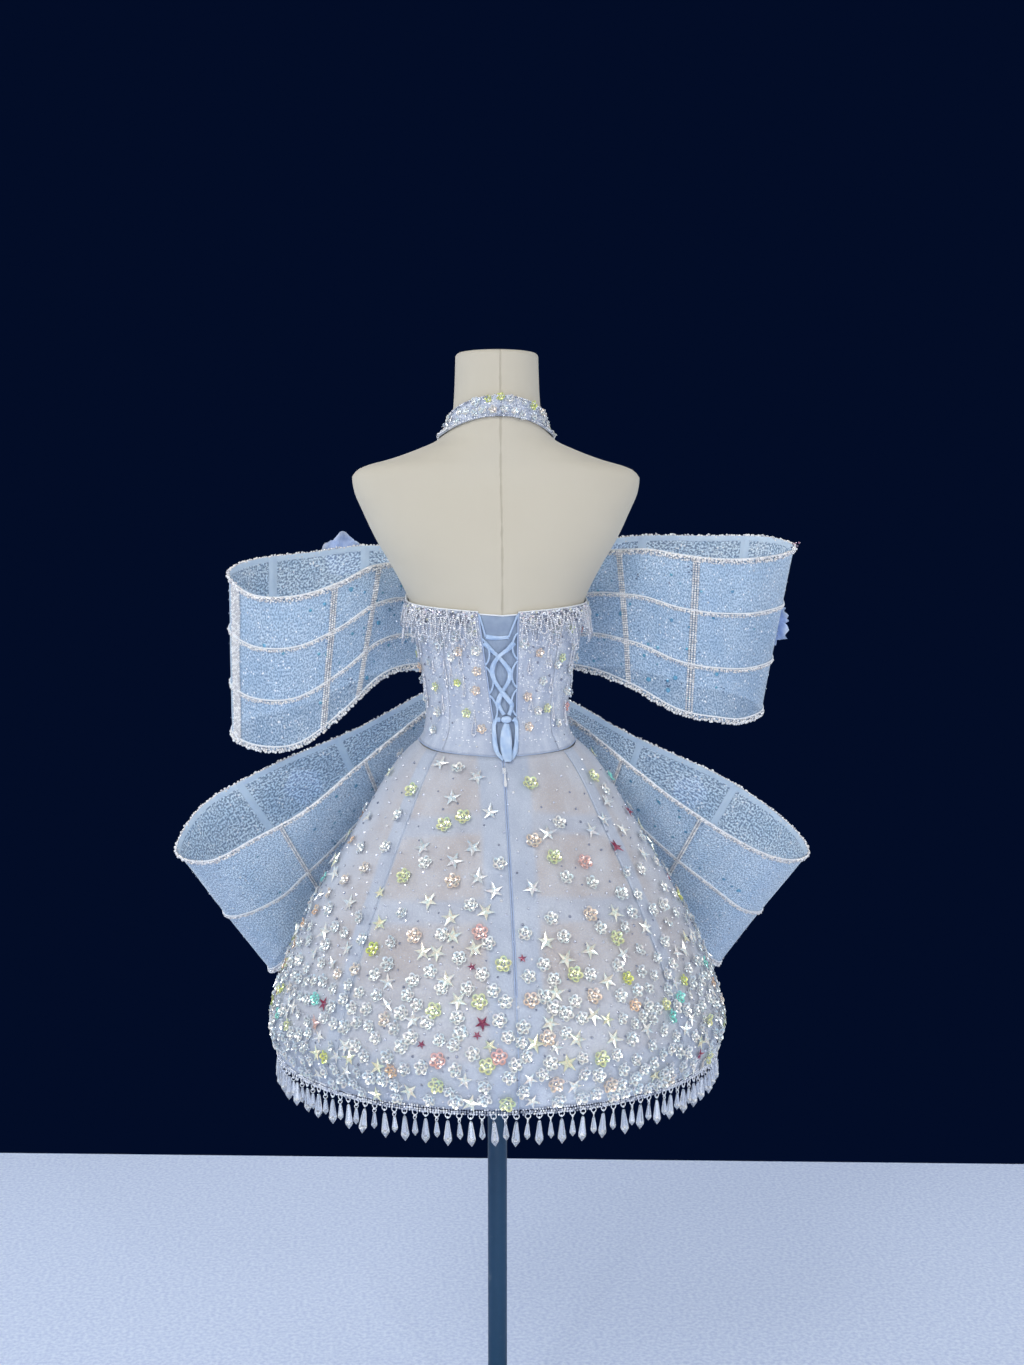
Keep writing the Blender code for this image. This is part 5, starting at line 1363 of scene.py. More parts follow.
# ---- halter collar and straps
collar = {"backZ": 1.471, "sideZ": 1.443, "tall": 0.027, "reach": 81.0, "flowerRoom": 0.0118, "stoneRoom": 0.0040,
          "pearl": 0.0015, "pitch": 0.0036, "flowerTries": 1500, "stoneTries": 5000}
strapRows = [
    (82.0, 1.4609, 82.0, 1.4339), (97.0, 1.4590, 98.0, 1.4315), (112.0, 1.4555, 118.0, 1.4260),
    (127.0, 1.4460, 137.0, 1.4130), (143.0, 1.4280, 153.0, 1.3940), (163.0, 1.3970, 156.0, 1.3680),
    (164.5, 1.3550, 154.5, 1.3380), (162.5, 1.3050, 151.5, 1.3000), (161.0, 1.2490, 148.5, 1.2520),
]


def collarPlace(u, v):
    angle = collar["reach"] * (2.0 * u - 1.0)
    middle = collar["sideZ"] + (collar["backZ"] - collar["sideZ"]) * math.cos(math.radians(angle))
    return angle, middle + (v - 0.5) * collar["tall"]


def strapPlace(u, v, side):
    highAngle, highZ, lowAngle, lowZ = throughRows(strapRows, u * (len(strapRows) - 1))
    angle = lowAngle + (highAngle - lowAngle) * v
    z = lowZ + (highZ - lowZ) * v
    if u > 0.999:
        z = topZ(angle) + 0.0004
    return side * angle, z


def onSkin(place, lift):
    angle, z = place
    return formPoint(angle, z) + formNormal(angle, z) * lift


def trimBand(name, placeAt, long, wide, node):
    # one beaded band of the halter: its cloth, sequins, stones and edge pearls
    shape = clothGrid(max(12, round(long / 0.004)), 8, lambda u, v: onSkin(placeAt(u, v), cloth["collarLift"]),
                      (long, wide), flip=True)
    shape.normal_update()
    if shape.faces[:][len(shape.faces) // 2].normal.dot(formNormal(*placeAt(0.5, 0.5))) < 0.0:
        bmesh.ops.reverse_faces(shape, faces=shape.faces[:])
    finishPiece(name, shape, "tulle", "bodice_cloth", [node], wall=0.0018)

    def draw():
        u, v = dice.uniform(0.01, 0.99), dice.uniform(0.06, 0.94)
        return onSkin(placeAt(u, v), cloth["collarLift"]), u, v

    flowers = []
    for point, u, v in spread(collar["flowerTries"], draw, lambda found: collar["flowerRoom"], 0.01):
        out = formNormal(*placeAt(u, v))
        flowers.append((seated(point + out * 0.0006, out, dice.uniform(0.0050, 0.0072), dice.gauss(0, 0.25)),
                        pickTint(flowerTints)))
    stones = []
    for point, u, v in spread(collar["stoneTries"], draw, lambda found: collar["stoneRoom"], 0.004):
        out = formNormal(*placeAt(u, v))
        stones.append((seated(point + out * 0.0005, out, dice.uniform(0.0011, 0.0019), dice.gauss(0, 0.3)),
                       dice.choice(beadTints)))
    pearls = []
    for v in (0.02, 0.98):
        def edgeAt(t):
            return onSkin(placeAt(0.005 + 0.99 * t, v), cloth["collarLift"] + 0.0012)

        pearls += strung(edgeAt, collar["pitch"], collar["pearl"], beadTints, 0.0002)
    scatter(name + "Sequins", flowerShape, flowers, "sequin")
    scatter(name + "Stones", stoneShape, stones, "bead")
    scatter(name + "Pearls", beadShape, pearls, "bead")


trimBand("halterCollar", collarPlace, 0.178, collar["tall"], "halter_collar")
trimBand("halterStrapLeft", lambda u, v: strapPlace(u, v, 1.0), 0.27, 0.03, "halter_strap_left")
trimBand("halterStrapRight", lambda u, v: strapPlace(u, v, -1.0), 0.27, 0.03, "halter_strap_right")
print("halter built")

# ---- zip in the middle of the back
zipPlan = {"top": 1.0035, "bottom": 0.735, "ridge": 0.0007, "apart": 0.0013, "steps": 90, "teeth": 200,
           "tooth": (0.0008, 0.0005, 0.00045), "tint": (0.25, 0.33, 0.55), "seam": 0.0008}


def buildZip():
    low, high = zipPlan["bottom"], zipPlan["top"]
    lines = []
    for side in (-1.0, 1.0):
        heights = [low + (high - low) * k / zipPlan["steps"] for k in range(zipPlan["steps"] + 1)]
        lines.append([skirtPoint(math.degrees(side * zipPlan["apart"] / skirtHalf(z)), z, 0.0001) for z in heights])
    meshPiece("zipRidges", cordMesh(lines, zipPlan["ridge"]), "piping", "organza")
    teeth = []
    for k in range(zipPlan["teeth"]):
        point = skirtPoint(0.0, low + (high - 0.018 - low) * k / zipPlan["teeth"], -0.0002)
        teeth.append((sized(point, *zipPlan["tooth"]), zipPlan["tint"]))
    scatter("zipTeeth", beadShape, teeth, "bead", "zip_metal")
    for node in ("zip_slider", "zip_pull"):
        frame["nodes"][node].data.materials.clear()
        frame["nodes"][node].data.materials.append(finishes["zip"])
    # closed seam under the zip
    hem = cloth["hem"]
    line = [skirtPoint(0.0, hem + 0.001 + (low - hem) * k / 40, -0.0004) for k in range(41)]
    meshPiece("backSeam", cordMesh([line], zipPlan["seam"]), "piping", "organza")


buildZip()
print("zip built")

# ---- the bow
# rows are a band's top edge (x, y, z) and low edge in millimetres; lines are beaded lines as shares of the
# width, behind and in front; strips cross the band: where at the top, where below, columns of beads
# each plan's share of painted light says how much brighter its cloth is painted where it would take more light
loopPlans = {
    "bowLoopUpperLeft": {
        "node": "bow_loop_upper_left", "side": 1.0, "lines": ((1 / 3, 1 / 3), (2 / 3, 2 / 3)), "paintedLight": 0.30,
        "stripWide": 0.0135,
        "strips": ((2.2, 2.2, 3), (3.6, 3.6, 3), (5.46, 5.46, 7), (7.88, 7.60, 3), (9.06, 8.40, 3)),
        "rows": [
        (30, -143, 1188, 30, -145, 1108), (90, -152, 1262, 90, -172, 1104), (160, -155, 1287, 166, -190, 1098),
        (262, -166, 1277, 269, -208, 1053), (338, -128, 1267, 340, -178, 1037), (367, -62, 1249, 369, -108, 1021),
        (330, -2, 1222, 335, -50, 1005), (272, 8, 1221, 276, -42, 1007), (215, -10, 1239, 217, -58, 1048),
        (165, -44, 1262, 157, -85, 1100), (105, -98, 1256, 105, -112, 1112), (30, -128, 1184, 30, -130, 1110)],
    },
    "bowLoopUpperRight": {
        "node": "bow_loop_upper_right", "side": -1.0, "lines": ((1 / 3, 1 / 3), (2 / 3, 2 / 3)), "paintedLight": 0.20,
        "stripWide": 0.0135, "strips": ((2.2, 2.2, 3), (3.6, 3.6, 3), (7.64, 7.77, 3), (9.30, 9.05, 3)),
        "rows": [
        (30, -143, 1188, 30, -145, 1108), (110, -152, 1277, 110, -172, 1108), (206, -155, 1300, 216, -188, 1104),
        (323, -166, 1302, 321, -208, 1076), (410, -122, 1300, 389, -170, 1060), (432, -64, 1285, 399, -112, 1043),
        (378, -8, 1273, 358, -60, 1034), (313, 6, 1270, 323, -45, 1037), (258, -4, 1276, 264, -52, 1049),
        (200, -34, 1284, 200, -74, 1084), (120, -94, 1268, 130, -106, 1108), (30, -128, 1184, 30, -130, 1110)],
    },
    "bowLoopLowerLeft": {
        "node": "bow_loop_lower_left", "side": 1.0, "lines": ((0.49, 0.60),), "paintedLight": 0.75,
        "stripWide": 0.0110, "strips": ((2.25, 1.95, 2), (3.47, 3.10, 2), (7.50, 7.35, 2), (9.15, 9.05, 2)),
        "rows": [
        (30, -143, 1100, 30, -147, 994), (92, -165, 1072, 85, -190, 940), (193, -185, 1016, 165, -245, 832),
        (316, -190, 963, 250, -285, 737), (415, -160, 911, 306, -275, 672), (449, -95, 856, 326, -226, 645),
        (398, -32, 854, 302, -184, 668), (336, -12, 887, 258, -174, 738), (265, -13, 926, 210, -176, 800),
        (196, -40, 980, 150, -174, 872), (112, -98, 1040, 86, -146, 950), (30, -128, 1096, 30, -132, 998)],
    },
    "bowLoopLowerRight": {
        "node": "bow_loop_lower_right", "side": -1.0, "lines": ((0.5, 0.5),), "paintedLight": 0.70,
        "stripWide": 0.0110, "strips": ((2.12, 2.06, 2), (3.16, 3.10, 2), (7.66, 7.42, 2), (9.30, 9.00, 2)),
        "rows": [
        (30, -143, 1100, 30, -147, 994), (126, -165, 1055, 95, -190, 940), (219, -185, 1002, 180, -245, 826),
        (363, -190, 934, 285, -288, 724), (448, -150, 874, 350, -272, 660), (467, -92, 838, 364, -220, 640),
        (416, -34, 841, 334, -180, 662), (352, -12, 869, 280, -172, 724), (263, -12, 926, 215, -174, 796),
        (208, -34, 968, 160, -172, 862), (125, -96, 1034, 96, -146, 940), (30, -128, 1096, 30, -132, 998)],
    },
}
for plan in loopPlans.values():
    plan["rows"] = [tuple(cell / 1000 for cell in row) for row in plan["rows"]]
bow = {"wall": 0.0015, "edgeWide": 7.6, "lineWide": 3.2, "casingLift": -0.0010, "stripLift": -0.0015,
       "bead": 0.00175, "pitch": 0.0037, "linePitch": 0.0031, "crossPitch": 0.0034, "columnGap": 0.0035,
       # beads beside an edge: size and lift of each strand; beside a line: distance and size
       "strands": ((1.25, 0.0009), (1.05, 0.0013), (0.85, 0.0006)), "besideLine": ((1.7, 0.95), (4.0, 0.72)),
       "along": 150, "across": 26, "cord": 0.00115, "dots": 76, "glitter": 110,
       # radius and tint of the loose sequins
       "dotKinds": [(0.0013, (0.02, 0.06, 0.16)), (0.0013, (0.03, 0.12, 0.26)), (0.0018, (0.03, 0.26, 0.42)),
                    (0.0023, (0.04, 0.34, 0.50)), (0.0027, (0.05, 0.30, 0.52)), (0.0034, (0.08, 0.38, 0.60))]}
bandEnd = 11  # the last row of every band
meshLift = bow["wall"] * 0.6  # the mesh cloth lies a little inside the solid's outer face


def bandEdges(plan, at):
    x1, y1, z1, x2, y2, z2 = throughRows(plan["rows"], at)
    return Vector((plan["side"] * x1, y1, z1)), Vector((plan["side"] * x2, y2, z2))


def bandFrame(plan, at, share):
    # point on a band's inner face and its outward direction
    top, low = bandEdges(plan, at)
    topAfter, lowAfter = bandEdges(plan, min(at + 0.05, bandEnd))
    topBefore, lowBefore = bandEdges(plan, max(at - 0.05, 0.0))
    along = (topAfter - topBefore).lerp(lowAfter - lowBefore, share)
    out = (low - top).cross(along).normalized() * plan["side"]
    if at < 0.001 or at > bandEnd - 0.001:
        out = Vector((0.0, out.y, out.z)).normalized()
    return top.lerp(low, share), out


def bandPoint(plan, at, share, lift):
    point, out = bandFrame(plan, at, share)
    held = min(1.0, 6.0 * min(share, 1.0 - share))
    soft = noise.noise(Vector((at * 1.6, share * 2.4, plan["side"] * 3.0 + plan["rows"][1][2] * 9.0)))
    lift += 0.0022 * soft * held * min(1.0, at, bandEnd - at)
    return point + out * lift


def lineShare(line, at):
    # a beaded line keeps one share on the far half of its band and another on the near half
    return line[0] + (line[1] - line[0]) * step(at, 5.8, 7.0)


def mmShare(plan, at, millimetres):
    # a distance down the band as a share of its width there
    top, low = bandEdges(plan, at)
    return millimetres / 1000.0 / (low - top).length


def besideEdge(plan, edge, at, inset, lift):
    share = mmShare(plan, at, inset)
    return bandPoint(plan, at, share if edge == 0.0 else 1.0 - share, lift)


def besideLine(plan, line, at, inset, lift):
    return bandPoint(plan, at, lineShare(line, at) + mmShare(plan, at, inset), lift)


def acrossBand(plan, strip, t, aside, margin, lift):
    # a strip crosses its band on a slant
    return bandPoint(plan, strip[0] + (strip[1] - strip[0]) * t + aside, margin + (1.0 - 2.0 * margin) * t, lift)


def stripPace(plan, strip):
    # metres of cloth to one step along the band at a strip
    return (bandEdges(plan, strip[0] + 0.1)[0] - bandEdges(plan, strip[0])[0]).length / 0.1


def loopCasings(plan, long, wide):
    # smooth ribbon casings on the inner face: along both edges, the beaded lines and the crossing strips
    right = plan["side"] < 0.0
    casings = []
    for edge in (0.0, 1.0):
        casings.append(clothGrid(bow["along"], 3, lambda u, v: besideEdge(
            plan, edge, u * bandEnd, bow["edgeWide"] * v, meshLift + bow["casingLift"]), (long, 0.008),
            flip=right == (edge == 0.0)))
    for line in plan["lines"]:
        casings.append(clothGrid(bow["along"], 3, lambda u, v: besideLine(
            plan, line, u * bandEnd, bow["lineWide"] * (v - 0.5), meshLift + bow["casingLift"]), (long, 0.004),
            flip=right))
    for strip in plan["strips"]:
        half = plan["stripWide"] / 2 / stripPace(plan, strip)

        def stripAt(u, v):
            fold = 0.0004 * math.cos(math.tau * u)
            return acrossBand(plan, strip, v, half * (2.0 * u - 1.0), 0.01, meshLift + bow["stripLift"] + fold)

        casings.append(clothGrid(8, bow["across"], stripAt, (plan["stripWide"], wide), flip=right))
    return joined(casings)


def loopBeads(plan):
    # strands beside the cord of each edge and line, columns over each crossing strip
    spots = []
    for edge in (0.0, 1.0):
        for strand, (size, lift) in enumerate(bow["strands"]):
            def strandAt(t):
                # on the half behind the top beads stand up over the edge, in front they lie under the cord
                at = t * bandEnd
                inset = 2.5 * strand + (0.2 + 2.4 * step(at, 5.1, 5.9) if edge == 0.0 else 0.0)
                return besideEdge(plan, edge, at, inset, bow["wall"] + lift)

            spots += strung(strandAt, bow["pitch"], bow["bead"] * size, trimTints, 0.0007)
    for line in plan["lines"]:
        for inset, size in bow["besideLine"]:
            spots += strung(lambda t: besideLine(plan, line, t * bandEnd, inset, bow["wall"] + 0.0009),
                            bow["linePitch"], bow["bead"] * size, trimTints, 0.0005)
    for strip in plan["strips"]:
        pace = stripPace(plan, strip)
        for column in range(strip[2]):
            off = bow["columnGap"] * (column - (strip[2] - 1) / 2)
            spots += strung(lambda t: acrossBand(plan, strip, t, off / pace, 0.02, bow["wall"] + 0.0009),
                            bow["crossPitch"], bow["bead"], trimTints[:4])
    return spots


def loopDots(plan):
    # loose teal sequins and small clear stones over the outer face
    dots = []
    for k in range(bow["dots"]):
        at = dice.choice((dice.uniform(0.6, 3.4), dice.uniform(6.0, bandEnd - 0.6), dice.uniform(7.5, bandEnd - 0.6)))
        share = dice.uniform(0.08, 0.92)
        size, tint = dice.choice(bow["dotKinds"])
        for mate in range(dice.choice((1, 1, 1, 2, 3)) if size < 0.0016 else 1):
            nearby = at + dice.uniform(-0.09, 0.09) * min(mate, 1)
            aside = share + dice.uniform(-0.035, 0.035) * min(mate, 1)
            out = bandFrame(plan, nearby, aside)[1]
            dots.append((seated(bandPoint(plan, nearby, aside, bow["wall"] + 0.0003), out,
                                size * dice.uniform(0.8, 1.2), tall=0.3), tint))
    for k in range(bow["glitter"]):
        at, share = dice.uniform(0.3, bandEnd - 0.3), dice.uniform(0.05, 0.95)
        out = bandFrame(plan, at, share)[1]
        dots.append((seated(bandPoint(plan, at, share, bow["wall"] + 0.0004), out, dice.uniform(0.0007, 0.0015)),
                     dice.choice(beadTints)))
    return dots


def buildLoop(name, plan):
    middles = [bandFrame(plan, bandEnd * k / 200, 0.5)[0] for k in range(201)]
    long = sum((b - a).length for a, b in zip(middles, middles[1:]))
    widths = [bandEdges(plan, bandEnd * k / 20) for k in range(21)]
    wide = sum((low - top).length for top, low in widths) / 21

    def paintedLightAt(u, v):
        # painted light: the half behind is painted brighter, as it takes the light on its inner face; the rest by the
        # loop's own share
        far = 1.0 - step(u * bandEnd, 4.9, 5.4)
        return max(plan["paintedLight"] * (1.0 - 0.25 * v), far), 0.0, 0.0

    sheet = clothGrid(bow["along"], bow["across"], lambda u, v: bandPoint(plan, u * bandEnd, v, meshLift),
                      (long, wide), flip=plan["side"] > 0.0, paint=paintedLightAt)
    finishPiece(name, sheet, "bow", "bow_mesh", [plan["node"]])
    finishPiece(name + "Casings", loopCasings(plan, long, wide), "casing", "satin")
    scatter(name + "Beads", beadShape, loopBeads(plan), "trim")
    cords = []
    for line, inset in [((0.0, 0.0), 1.1), ((1.0, 1.0), -7.0)] + [(line, -0.9) for line in plan["lines"]]:
        cords.append([besideLine(plan, line, bandEnd * k / 220, inset, bow["wall"] + 0.0007) for k in range(221)])
    meshPiece(name + "Cords", cordMesh(cords, bow["cord"]), "cord", "satin")
    scatter(name + "Dots", stoneShape, loopDots(plan), "bead")
    print(name, "cloth", round(long, 3), "by", round(wide, 3))


for name, plan in loopPlans.items():
    buildLoop(name, plan)

knot = {"half": 0.0293, "heights": (0.986, 0.992, 1.040, 1.090, 1.145, 1.188, 1.194),
        "fronts": (-0.1540, -0.1570, -0.1610, -0.1620, -0.1610, -0.1570, -0.1540),
        "rears": (-0.1310, -0.1275, -0.1190, -0.1150, -0.1180, -0.1180, -0.1185)}


def buildKnot():
    front = smoothCurve(knot["heights"], knot["fronts"])
    rear = smoothCurve(knot["heights"], knot["rears"])
    low, high = knot["heights"][0], knot["heights"][-1]

    def pointAt(u, v):
        z = low + (high - low) * v
        turn = math.tau * u
        pinch = 1.0 - 0.10 * math.exp(-((v - 0.5) / 0.22) ** 2)
        x = knot["half"] * pinch * math.copysign(abs(math.sin(turn)) ** 0.55, math.sin(turn))
        middle = (front(z) + rear(z)) / 2
        deep = (rear(z) - front(z)) / 2
        y = middle - deep * math.copysign(abs(math.cos(turn)) ** 0.6, math.cos(turn))
        pleat = 0.0010 * math.sin(x / 0.0034 + 2.0 * math.sin(v * 5.0)) * (1.0 if math.cos(turn) > 0.1 else 0.0)
        return Vector((x, y - pleat, z))

    shape = clothGrid(88, 44, pointAt, (0.20, 0.208), closed=True)
    finishPiece("bowKnot", shape, "casing", "bow_mesh", ["bow_knot"], wall=0.0012)
    spots = []
    for v in (0.012, 0.988):
        for shift in (-0.006, 0.006):
            spots += strung(lambda t: pointAt(0.27 - 0.54 * t, v + shift) + Vector((0, -0.0012, 0)), 0.0034, 0.0016,
                            trimTints, 0.0003, 120)
    for u in (-0.09, 0.0, 0.09):
        spots += strung(lambda t: pointAt(u, 0.02 + 0.96 * t) + Vector((0, -0.0010, 0)), 0.0034, 0.0014,
                        trimTints, 0.0002, 200)
    scatter("bowKnotBeads", beadShape, spots, "trim")


buildKnot()

# flowers: loop, place along it, share across it, radius
flowerPlans = [
    ("bowLoopUpperLeft", 2.50, 0.06, 0.037), ("bowLoopUpperRight", 1.70, 0.12, 0.034),
    ("bowLoopUpperRight", 4.45, 0.50, 0.034), ("bowLoopLowerLeft", 2.75, 0.24, 0.034),
    ("bowLoopLowerRight", 2.75, 0.22, 0.032), ("bowLoopUpperLeft", 1.20, 0.50, 0.034),
    ("bowLoopUpperRight", 3.05, 0.50, 0.034),
]
# rings of petals: how many, how far they reach, how much they cup
petals = {"rings": ((5, 1.0, 0.40), (5, 0.68, 0.85), (4, 0.42, 1.15)), "wide": 0.62, "grid": 8, "seeds": 16}


def buildFlower(number, loop, at, share, radius):
    point, out = bandFrame(loopPlans[loop], at, share)
    foot = point + out * 0.0030
    across = up.cross(out).normalized()
    tall = out.cross(across)
    shapes = []
    for ring, (count, reach, cup) in enumerate(petals["rings"]):
        for k in range(count):
            turn = math.tau * (k + 0.5 * ring) / count + 0.2 * (number - 1)
            seed = dice.uniform(0.0, 10.0)

            def petalAt(u, v):
                # v runs from the heart to the rim, u across the petal
                far = radius * reach * v * (0.95 - 0.22 * (2.0 * u - 1.0) ** 2 * v)
                half = petals["wide"] * radius * reach * v ** 0.6 * (1.0 - 0.55 * v ** 4) + 0.0004
                side = half * (2.0 * u - 1.0)
                rise = radius * reach * 0.55 * cup * v ** 1.6 + 0.0022 * ring
                ruffle = 0.0034 * v * v * math.sin(seed + u * 9.0) + 0.0012 * v * math.sin(seed * 3.0 + v * 9.0)
                rise += ruffle - 0.15 * abs(side) * (1.0 - v)
                far += 0.0016 * v * v * math.sin(seed * 2.0 + u * 7.0)
                flat = (across * (math.sin(turn) * far + math.cos(turn) * side)
                        + tall * (math.cos(turn) * far - math.sin(turn) * side))
                return foot + flat + out * rise

            shapes.append(clothGrid(petals["grid"], petals["grid"], petalAt, (0.04, 0.03)))
    finishPiece("bowFlower%d" % number, joined(shapes), "petal", "petal_cloth", ["bow_flower_%d" % number])
    spots = []
    for k in range(petals["seeds"]):
        turn = k * 2.4
        far = 0.0011 * math.sqrt(k)
        spots.append((seated(foot + across * math.sin(turn) * far + tall * math.cos(turn) * far
                             + out * (0.0070 - far * 0.3), out, 0.0014), dice.choice(beadTints)))
    scatter("bowFlowerHeart%d" % number, beadShape, spots, "bead")


for number, plan in enumerate(flowerPlans, 1):
    buildFlower(number, *plan)

# a tuft of plum beads where the thread ends at the outer corner of the upper right loop
tuft = {"loop": "bowLoopUpperRight", "at": 4.8, "count": 14, "loose": 0.0028,
        "tints": [(0.16, 0.03, 0.09), (0.30, 0.06, 0.16), (0.08, 0.03, 0.12)]}
tuftAt, tuftOut = bandFrame(loopPlans[tuft["loop"]], tuft["at"], 0.0)
tuftSpots = []
for k in range(tuft["count"]):
    shift = scattered(tuft["loose"])
    tuftSpots.append((seated(tuftAt + tuftOut * 0.004 + shift, tuftOut, dice.uniform(0.0010, 0.0019)),
                      dice.choice(tuft["tints"])))
scatter("plumBeads", beadShape, tuftSpots, "bead")
print("bow built:", len(loopPlans), "loops,", len(flowerPlans), "flowers")

# ---- the cut of every sheet of cloth before it was sewn: width, length, area in metres; how it is held; what
# carries it; what is sewn on it
cuts = [
    ("skirtBackLeft", 0.245, 0.471, 0.086, "hung", "bodiceBackLeft", "zipRidges zipTeeth backSeam"),
    ("skirtSideLeft", 0.490, 0.474, 0.165, "hung", "bodiceSideLeft", "skirtStarSequins"),
    ("skirtFront", 0.490, 0.471, 0.172, "hung", "bodiceFront",
     "skirtFlowerSequins skirtStones skirtPearls hemBeads hemRings hemDrops"),
    ("skirtSideRight", 0.490, 0.474, 0.165, "hung", "bodiceSideRight", ""),
    ("skirtBackRight", 0.245, 0.471, 0.086, "hung", "bodiceBackRight", "waistPiping"),
    ("bodiceBackLeft", 0.081, 0.198, 0.0119, "stretched", "dressForm", ""),
    ("bodiceSideLeft", 0.165, 0.233, 0.0296, "stretched", "dressForm", ""),
    ("bodiceFront", 0.223, 0.254, 0.0421, "stretched", "dressForm",
     "topPiping bodicePearls bodiceStones bodiceStrands bodiceFlowerSequins topFringeBeads topFringeStones"
     " topFringeDrops"),
    ("bodiceSideRight", 0.165, 0.233, 0.0296, "stretched", "dressForm", ""),
    ("bodiceBackRight", 0.070, 0.197, 0.0115, "stretched", "dressForm", ""),
    ("modestyPanel", 0.110, 0.189, 0.0182, "stretched", "dressForm",
     " ".join(laceRows) + " laceKnot laceLoops openingPiping"),
    ("halterCollar", 0.203, 0.029, 0.0049, "stretched", "dressForm", "*Sequins *Stones *Pearls"),
    ("halterStrapLeft", 0.259, 0.047, 0.0073, "stretched", "dressForm halterCollar", "*Sequins *Stones *Pearls"),
    ("halterStrapRight", 0.259, 0.047, 0.0073, "stretched", "dressForm halterCollar", "*Sequins *Stones *Pearls"),
    ("bowKnot", 0.172, 0.212, 0.0355, "folded", "bodiceFront", "*Beads"),
    ("bowLoopUpperLeft", 0.236, 0.898, 0.156, "folded", "bowKnot", "*Casings *Beads *Cords *Dots"),
    ("bowLoopUpperRight", 0.249, 1.008, 0.180, "folded", "bowKnot", "*Casings *Beads *Cords *Dots plumBeads"),
    ("bowLoopLowerLeft", 0.288, 1.090, 0.193, "folded", "bowKnot", "*Casings *Beads *Cords *Dots"),
    ("bowLoopLowerRight", 0.266, 1.139, 0.197, "folded", "bowKnot", "*Casings *Beads *Cords *Dots"),
]
# a flower's petals were cut from one strip of organza
cuts += [("bowFlower%d" % number, 0.30, 0.03, 0.0066, "gathered", plan[0], "bowFlowerHeart%d" % number)
         for number, plan in enumerate(flowerPlans, 1)]
for name, wide, long, area, held, carriers, sewnOn in cuts:
    [bpy.data.objects[other] for other in sewnOn.replace("*", name).split()]

# ---- floor, light and camera
studio = {"floorTilt": -7.0, "farEdge": -1.10, "floor": (0.54, 0.62, 0.82), "floorLight": (0.70, 0.78, 0.93),
          "backdrop": (0.0009, 0.0040, 0.0200), "ambient": (0.80, 0.86, 1.0), "ambientPower": 0.36,
          "shineLow": 0.10, "shineHigh": 1.30}


def buildFloor():
    shape = bmesh.new()
    bmesh.ops.create_grid(shape, x_segments=1, y_segments=1, size=1.0)
    bmesh.ops.scale(shape, verts=shape.verts[:], vec=(5.0, 3.2, 1.0))
    bmesh.ops.translate(shape, verts=shape.verts[:], vec=(0.0, 3.2 + studio["farEdge"], 0.0))
    bmesh.ops.rotate(shape, verts=shape.verts[:], cent=(0, studio["farEdge"], 0),
                     matrix=Matrix.Rotation(math.radians(studio["floorTilt"]), 3, "Z"))
    pebbles = cloudy(place(newFinish("floor", "floorCloth", {"Roughness": 0.9}), "Object"), 150.0, 3.0)
    plug(mixed(between(pebbles, 0.35, 0.65), studio["floor"], studio["floorLight"]), "Base Color")
    raised(pebbles, 0.5, 0.002)
    floor = linked("floorCloth", asMesh("floorCloth", shape))
    floor.data.materials.append(finishes["floor"])


def buildWorld():
    # the camera sees a dark backdrop, glossy things see soft patches of light, and the rest a plain glow
    world = bpy.context.scene.world = bpy.data.worlds.new("studio")
    world.use_nodes = True
    tree = world.node_tree
    tree.nodes.clear()
    seen = addNode(tree, "Background", {"Color": studio["backdrop"]}).outputs[0]
    fill = addNode(tree, "Background", {"Color": studio["ambient"], "Strength": studio["ambientPower"]}).outputs[0]
    patches = addNode(tree, "TexNoise", {"Vector": place(tree, "Object"), "Scale": 4.0}).outputs["Fac"]
    power = between(patches, 0.45, 0.62, studio["shineLow"], studio["shineHigh"])
    shine = addNode(tree, "Background", {"Strength": power}).outputs[0]
    rays = addNode(tree, "LightPath").outputs
    room = addNode(tree, "MixShader", {0: rays["Is Glossy Ray"], 1: fill, 2: shine}).outputs[0]
    pick = addNode(tree, "MixShader", {0: rays["Is Camera Ray"], 1: room, 2: seen}).outputs[0]
    addNode(tree, "OutputWorld", {"Surface": pick})
    bpy.context.scene.view_settings.view_transform = "Standard"


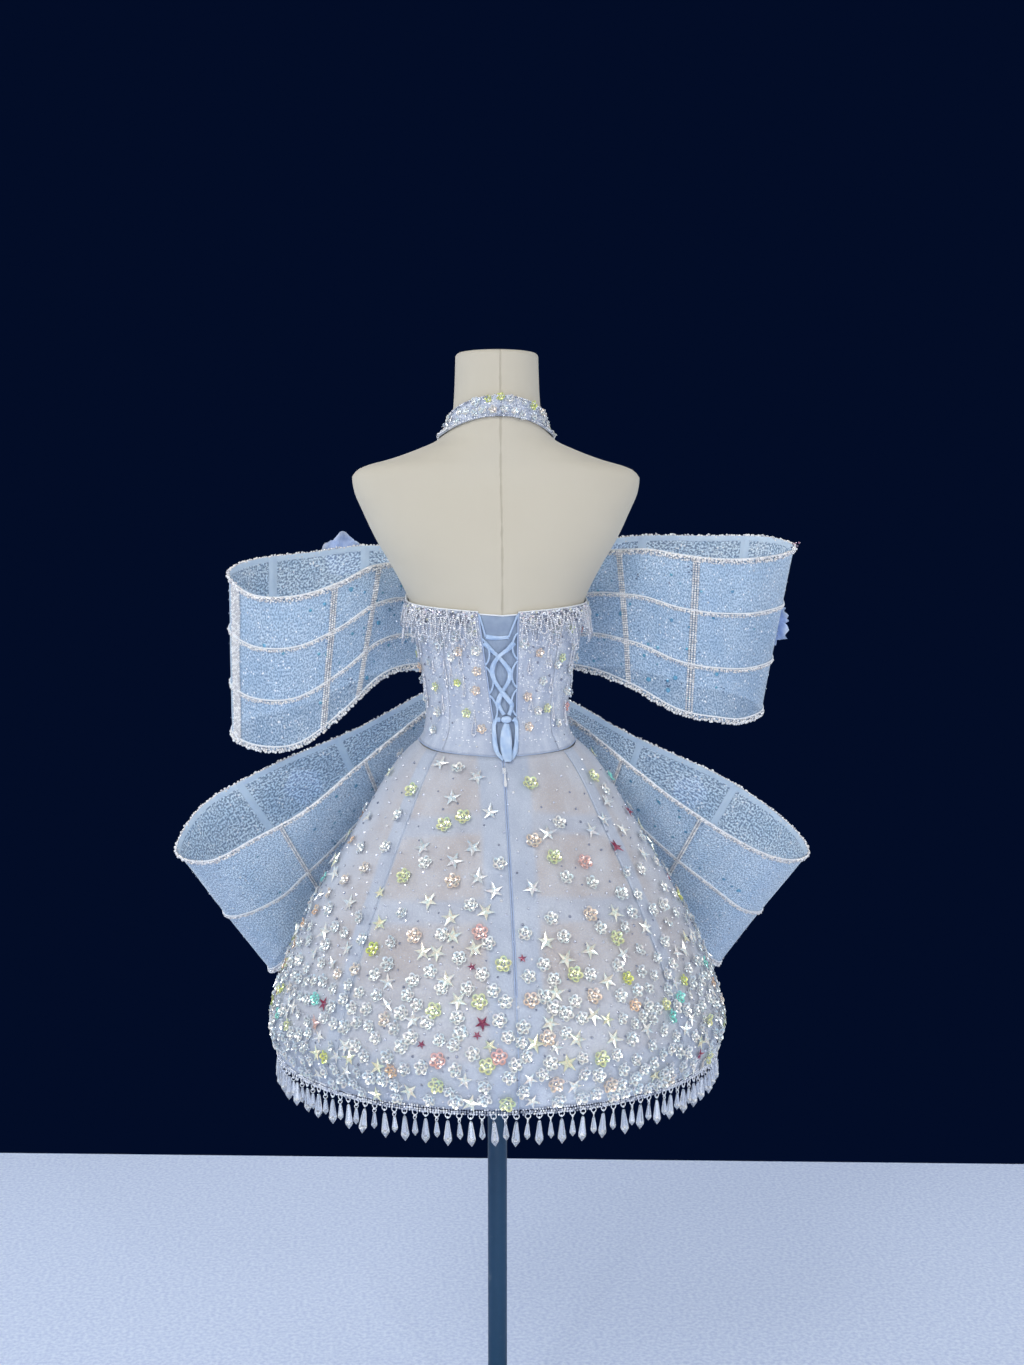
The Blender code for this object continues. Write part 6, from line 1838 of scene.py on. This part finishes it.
lamps = [
    # name, place, aim, size, power, colour
    ("keySoftbox", (1.3, 2.0, 2.7), (0.0, 0.0, 1.05), 1.3, 30.0, (1.0, 0.99, 0.96)),
    ("fillSoftbox", (-1.5, 1.9, 1.5), (0.0, 0.0, 1.0), 1.2, 12.0, (1.0, 0.97, 0.93)),
    ("lowSoftbox", (0.3, 2.3, 0.5), (0.0, 0.0, 0.8), 1.0, 7.5, (0.94, 0.97, 1.0)),
    ("leftRim", (1.9, -0.6, 1.6), (0.0, -0.1, 1.0), 0.8, 14.0, (0.85, 0.92, 1.0)),
    ("rightRim", (-1.9, -0.7, 1.6), (0.0, -0.1, 1.0), 0.8, 9.0, (0.85, 0.92, 1.0)),
    ("frontSoftbox", (0.0, -2.4, 2.2), (0.0, 0.0, 1.0), 1.2, 14.0, (0.95, 0.97, 1.0)),
    ("sparkLeft", (1.2, 2.6, 1.9), (0.0, 0.1, 0.85), 0.12, 6.0, (1.0, 1.0, 1.0)),
    ("sparkRight", (-0.8, 2.7, 2.1), (0.0, 0.1, 0.85), 0.12, 6.0, (1.0, 1.0, 1.0)),
]


def buildLamps():
    for name, at, aim, size, power, colour in lamps:
        data = bpy.data.lights.new(name, "AREA")
        data.shape = "DISK"
        data.size = size
        data.energy = power
        data.color = colour
        lamp = linked(name, data)
        lamp.location = at
        lamp.rotation_euler = (Vector(aim) - Vector(at)).to_track_quat("-Z", "Y").to_euler()


view = {"distance": 2.2, "height": 1.28, "pitch": 4.7, "azimuth": 4.8, "lens": 42.25, "aside": 15.0 / 1602.0}


def buildCamera():
    turn = math.radians(view["azimuth"])
    ahead = Vector((-math.sin(turn), -math.cos(turn), 0.0))
    swing = math.atan(view["aside"])
    pitch = math.radians(view["pitch"])
    ahead = ahead * math.cos(swing) + ahead.cross(up) * math.sin(swing)
    ahead = ahead * math.cos(pitch) - up * math.sin(pitch)
    data = bpy.data.cameras.new("photoCamera")
    data.lens = view["lens"]
    data.sensor_width = 36.0
    camera = linked("photoCamera", data)
    camera.location = (view["distance"] * math.sin(turn), view["distance"] * math.cos(turn), view["height"])
    camera.rotation_euler = ahead.to_track_quat("-Z", "Y").to_euler()
    bpy.context.scene.camera = camera


buildFloor()
buildWorld()
buildLamps()
buildCamera()
print("studio ready")
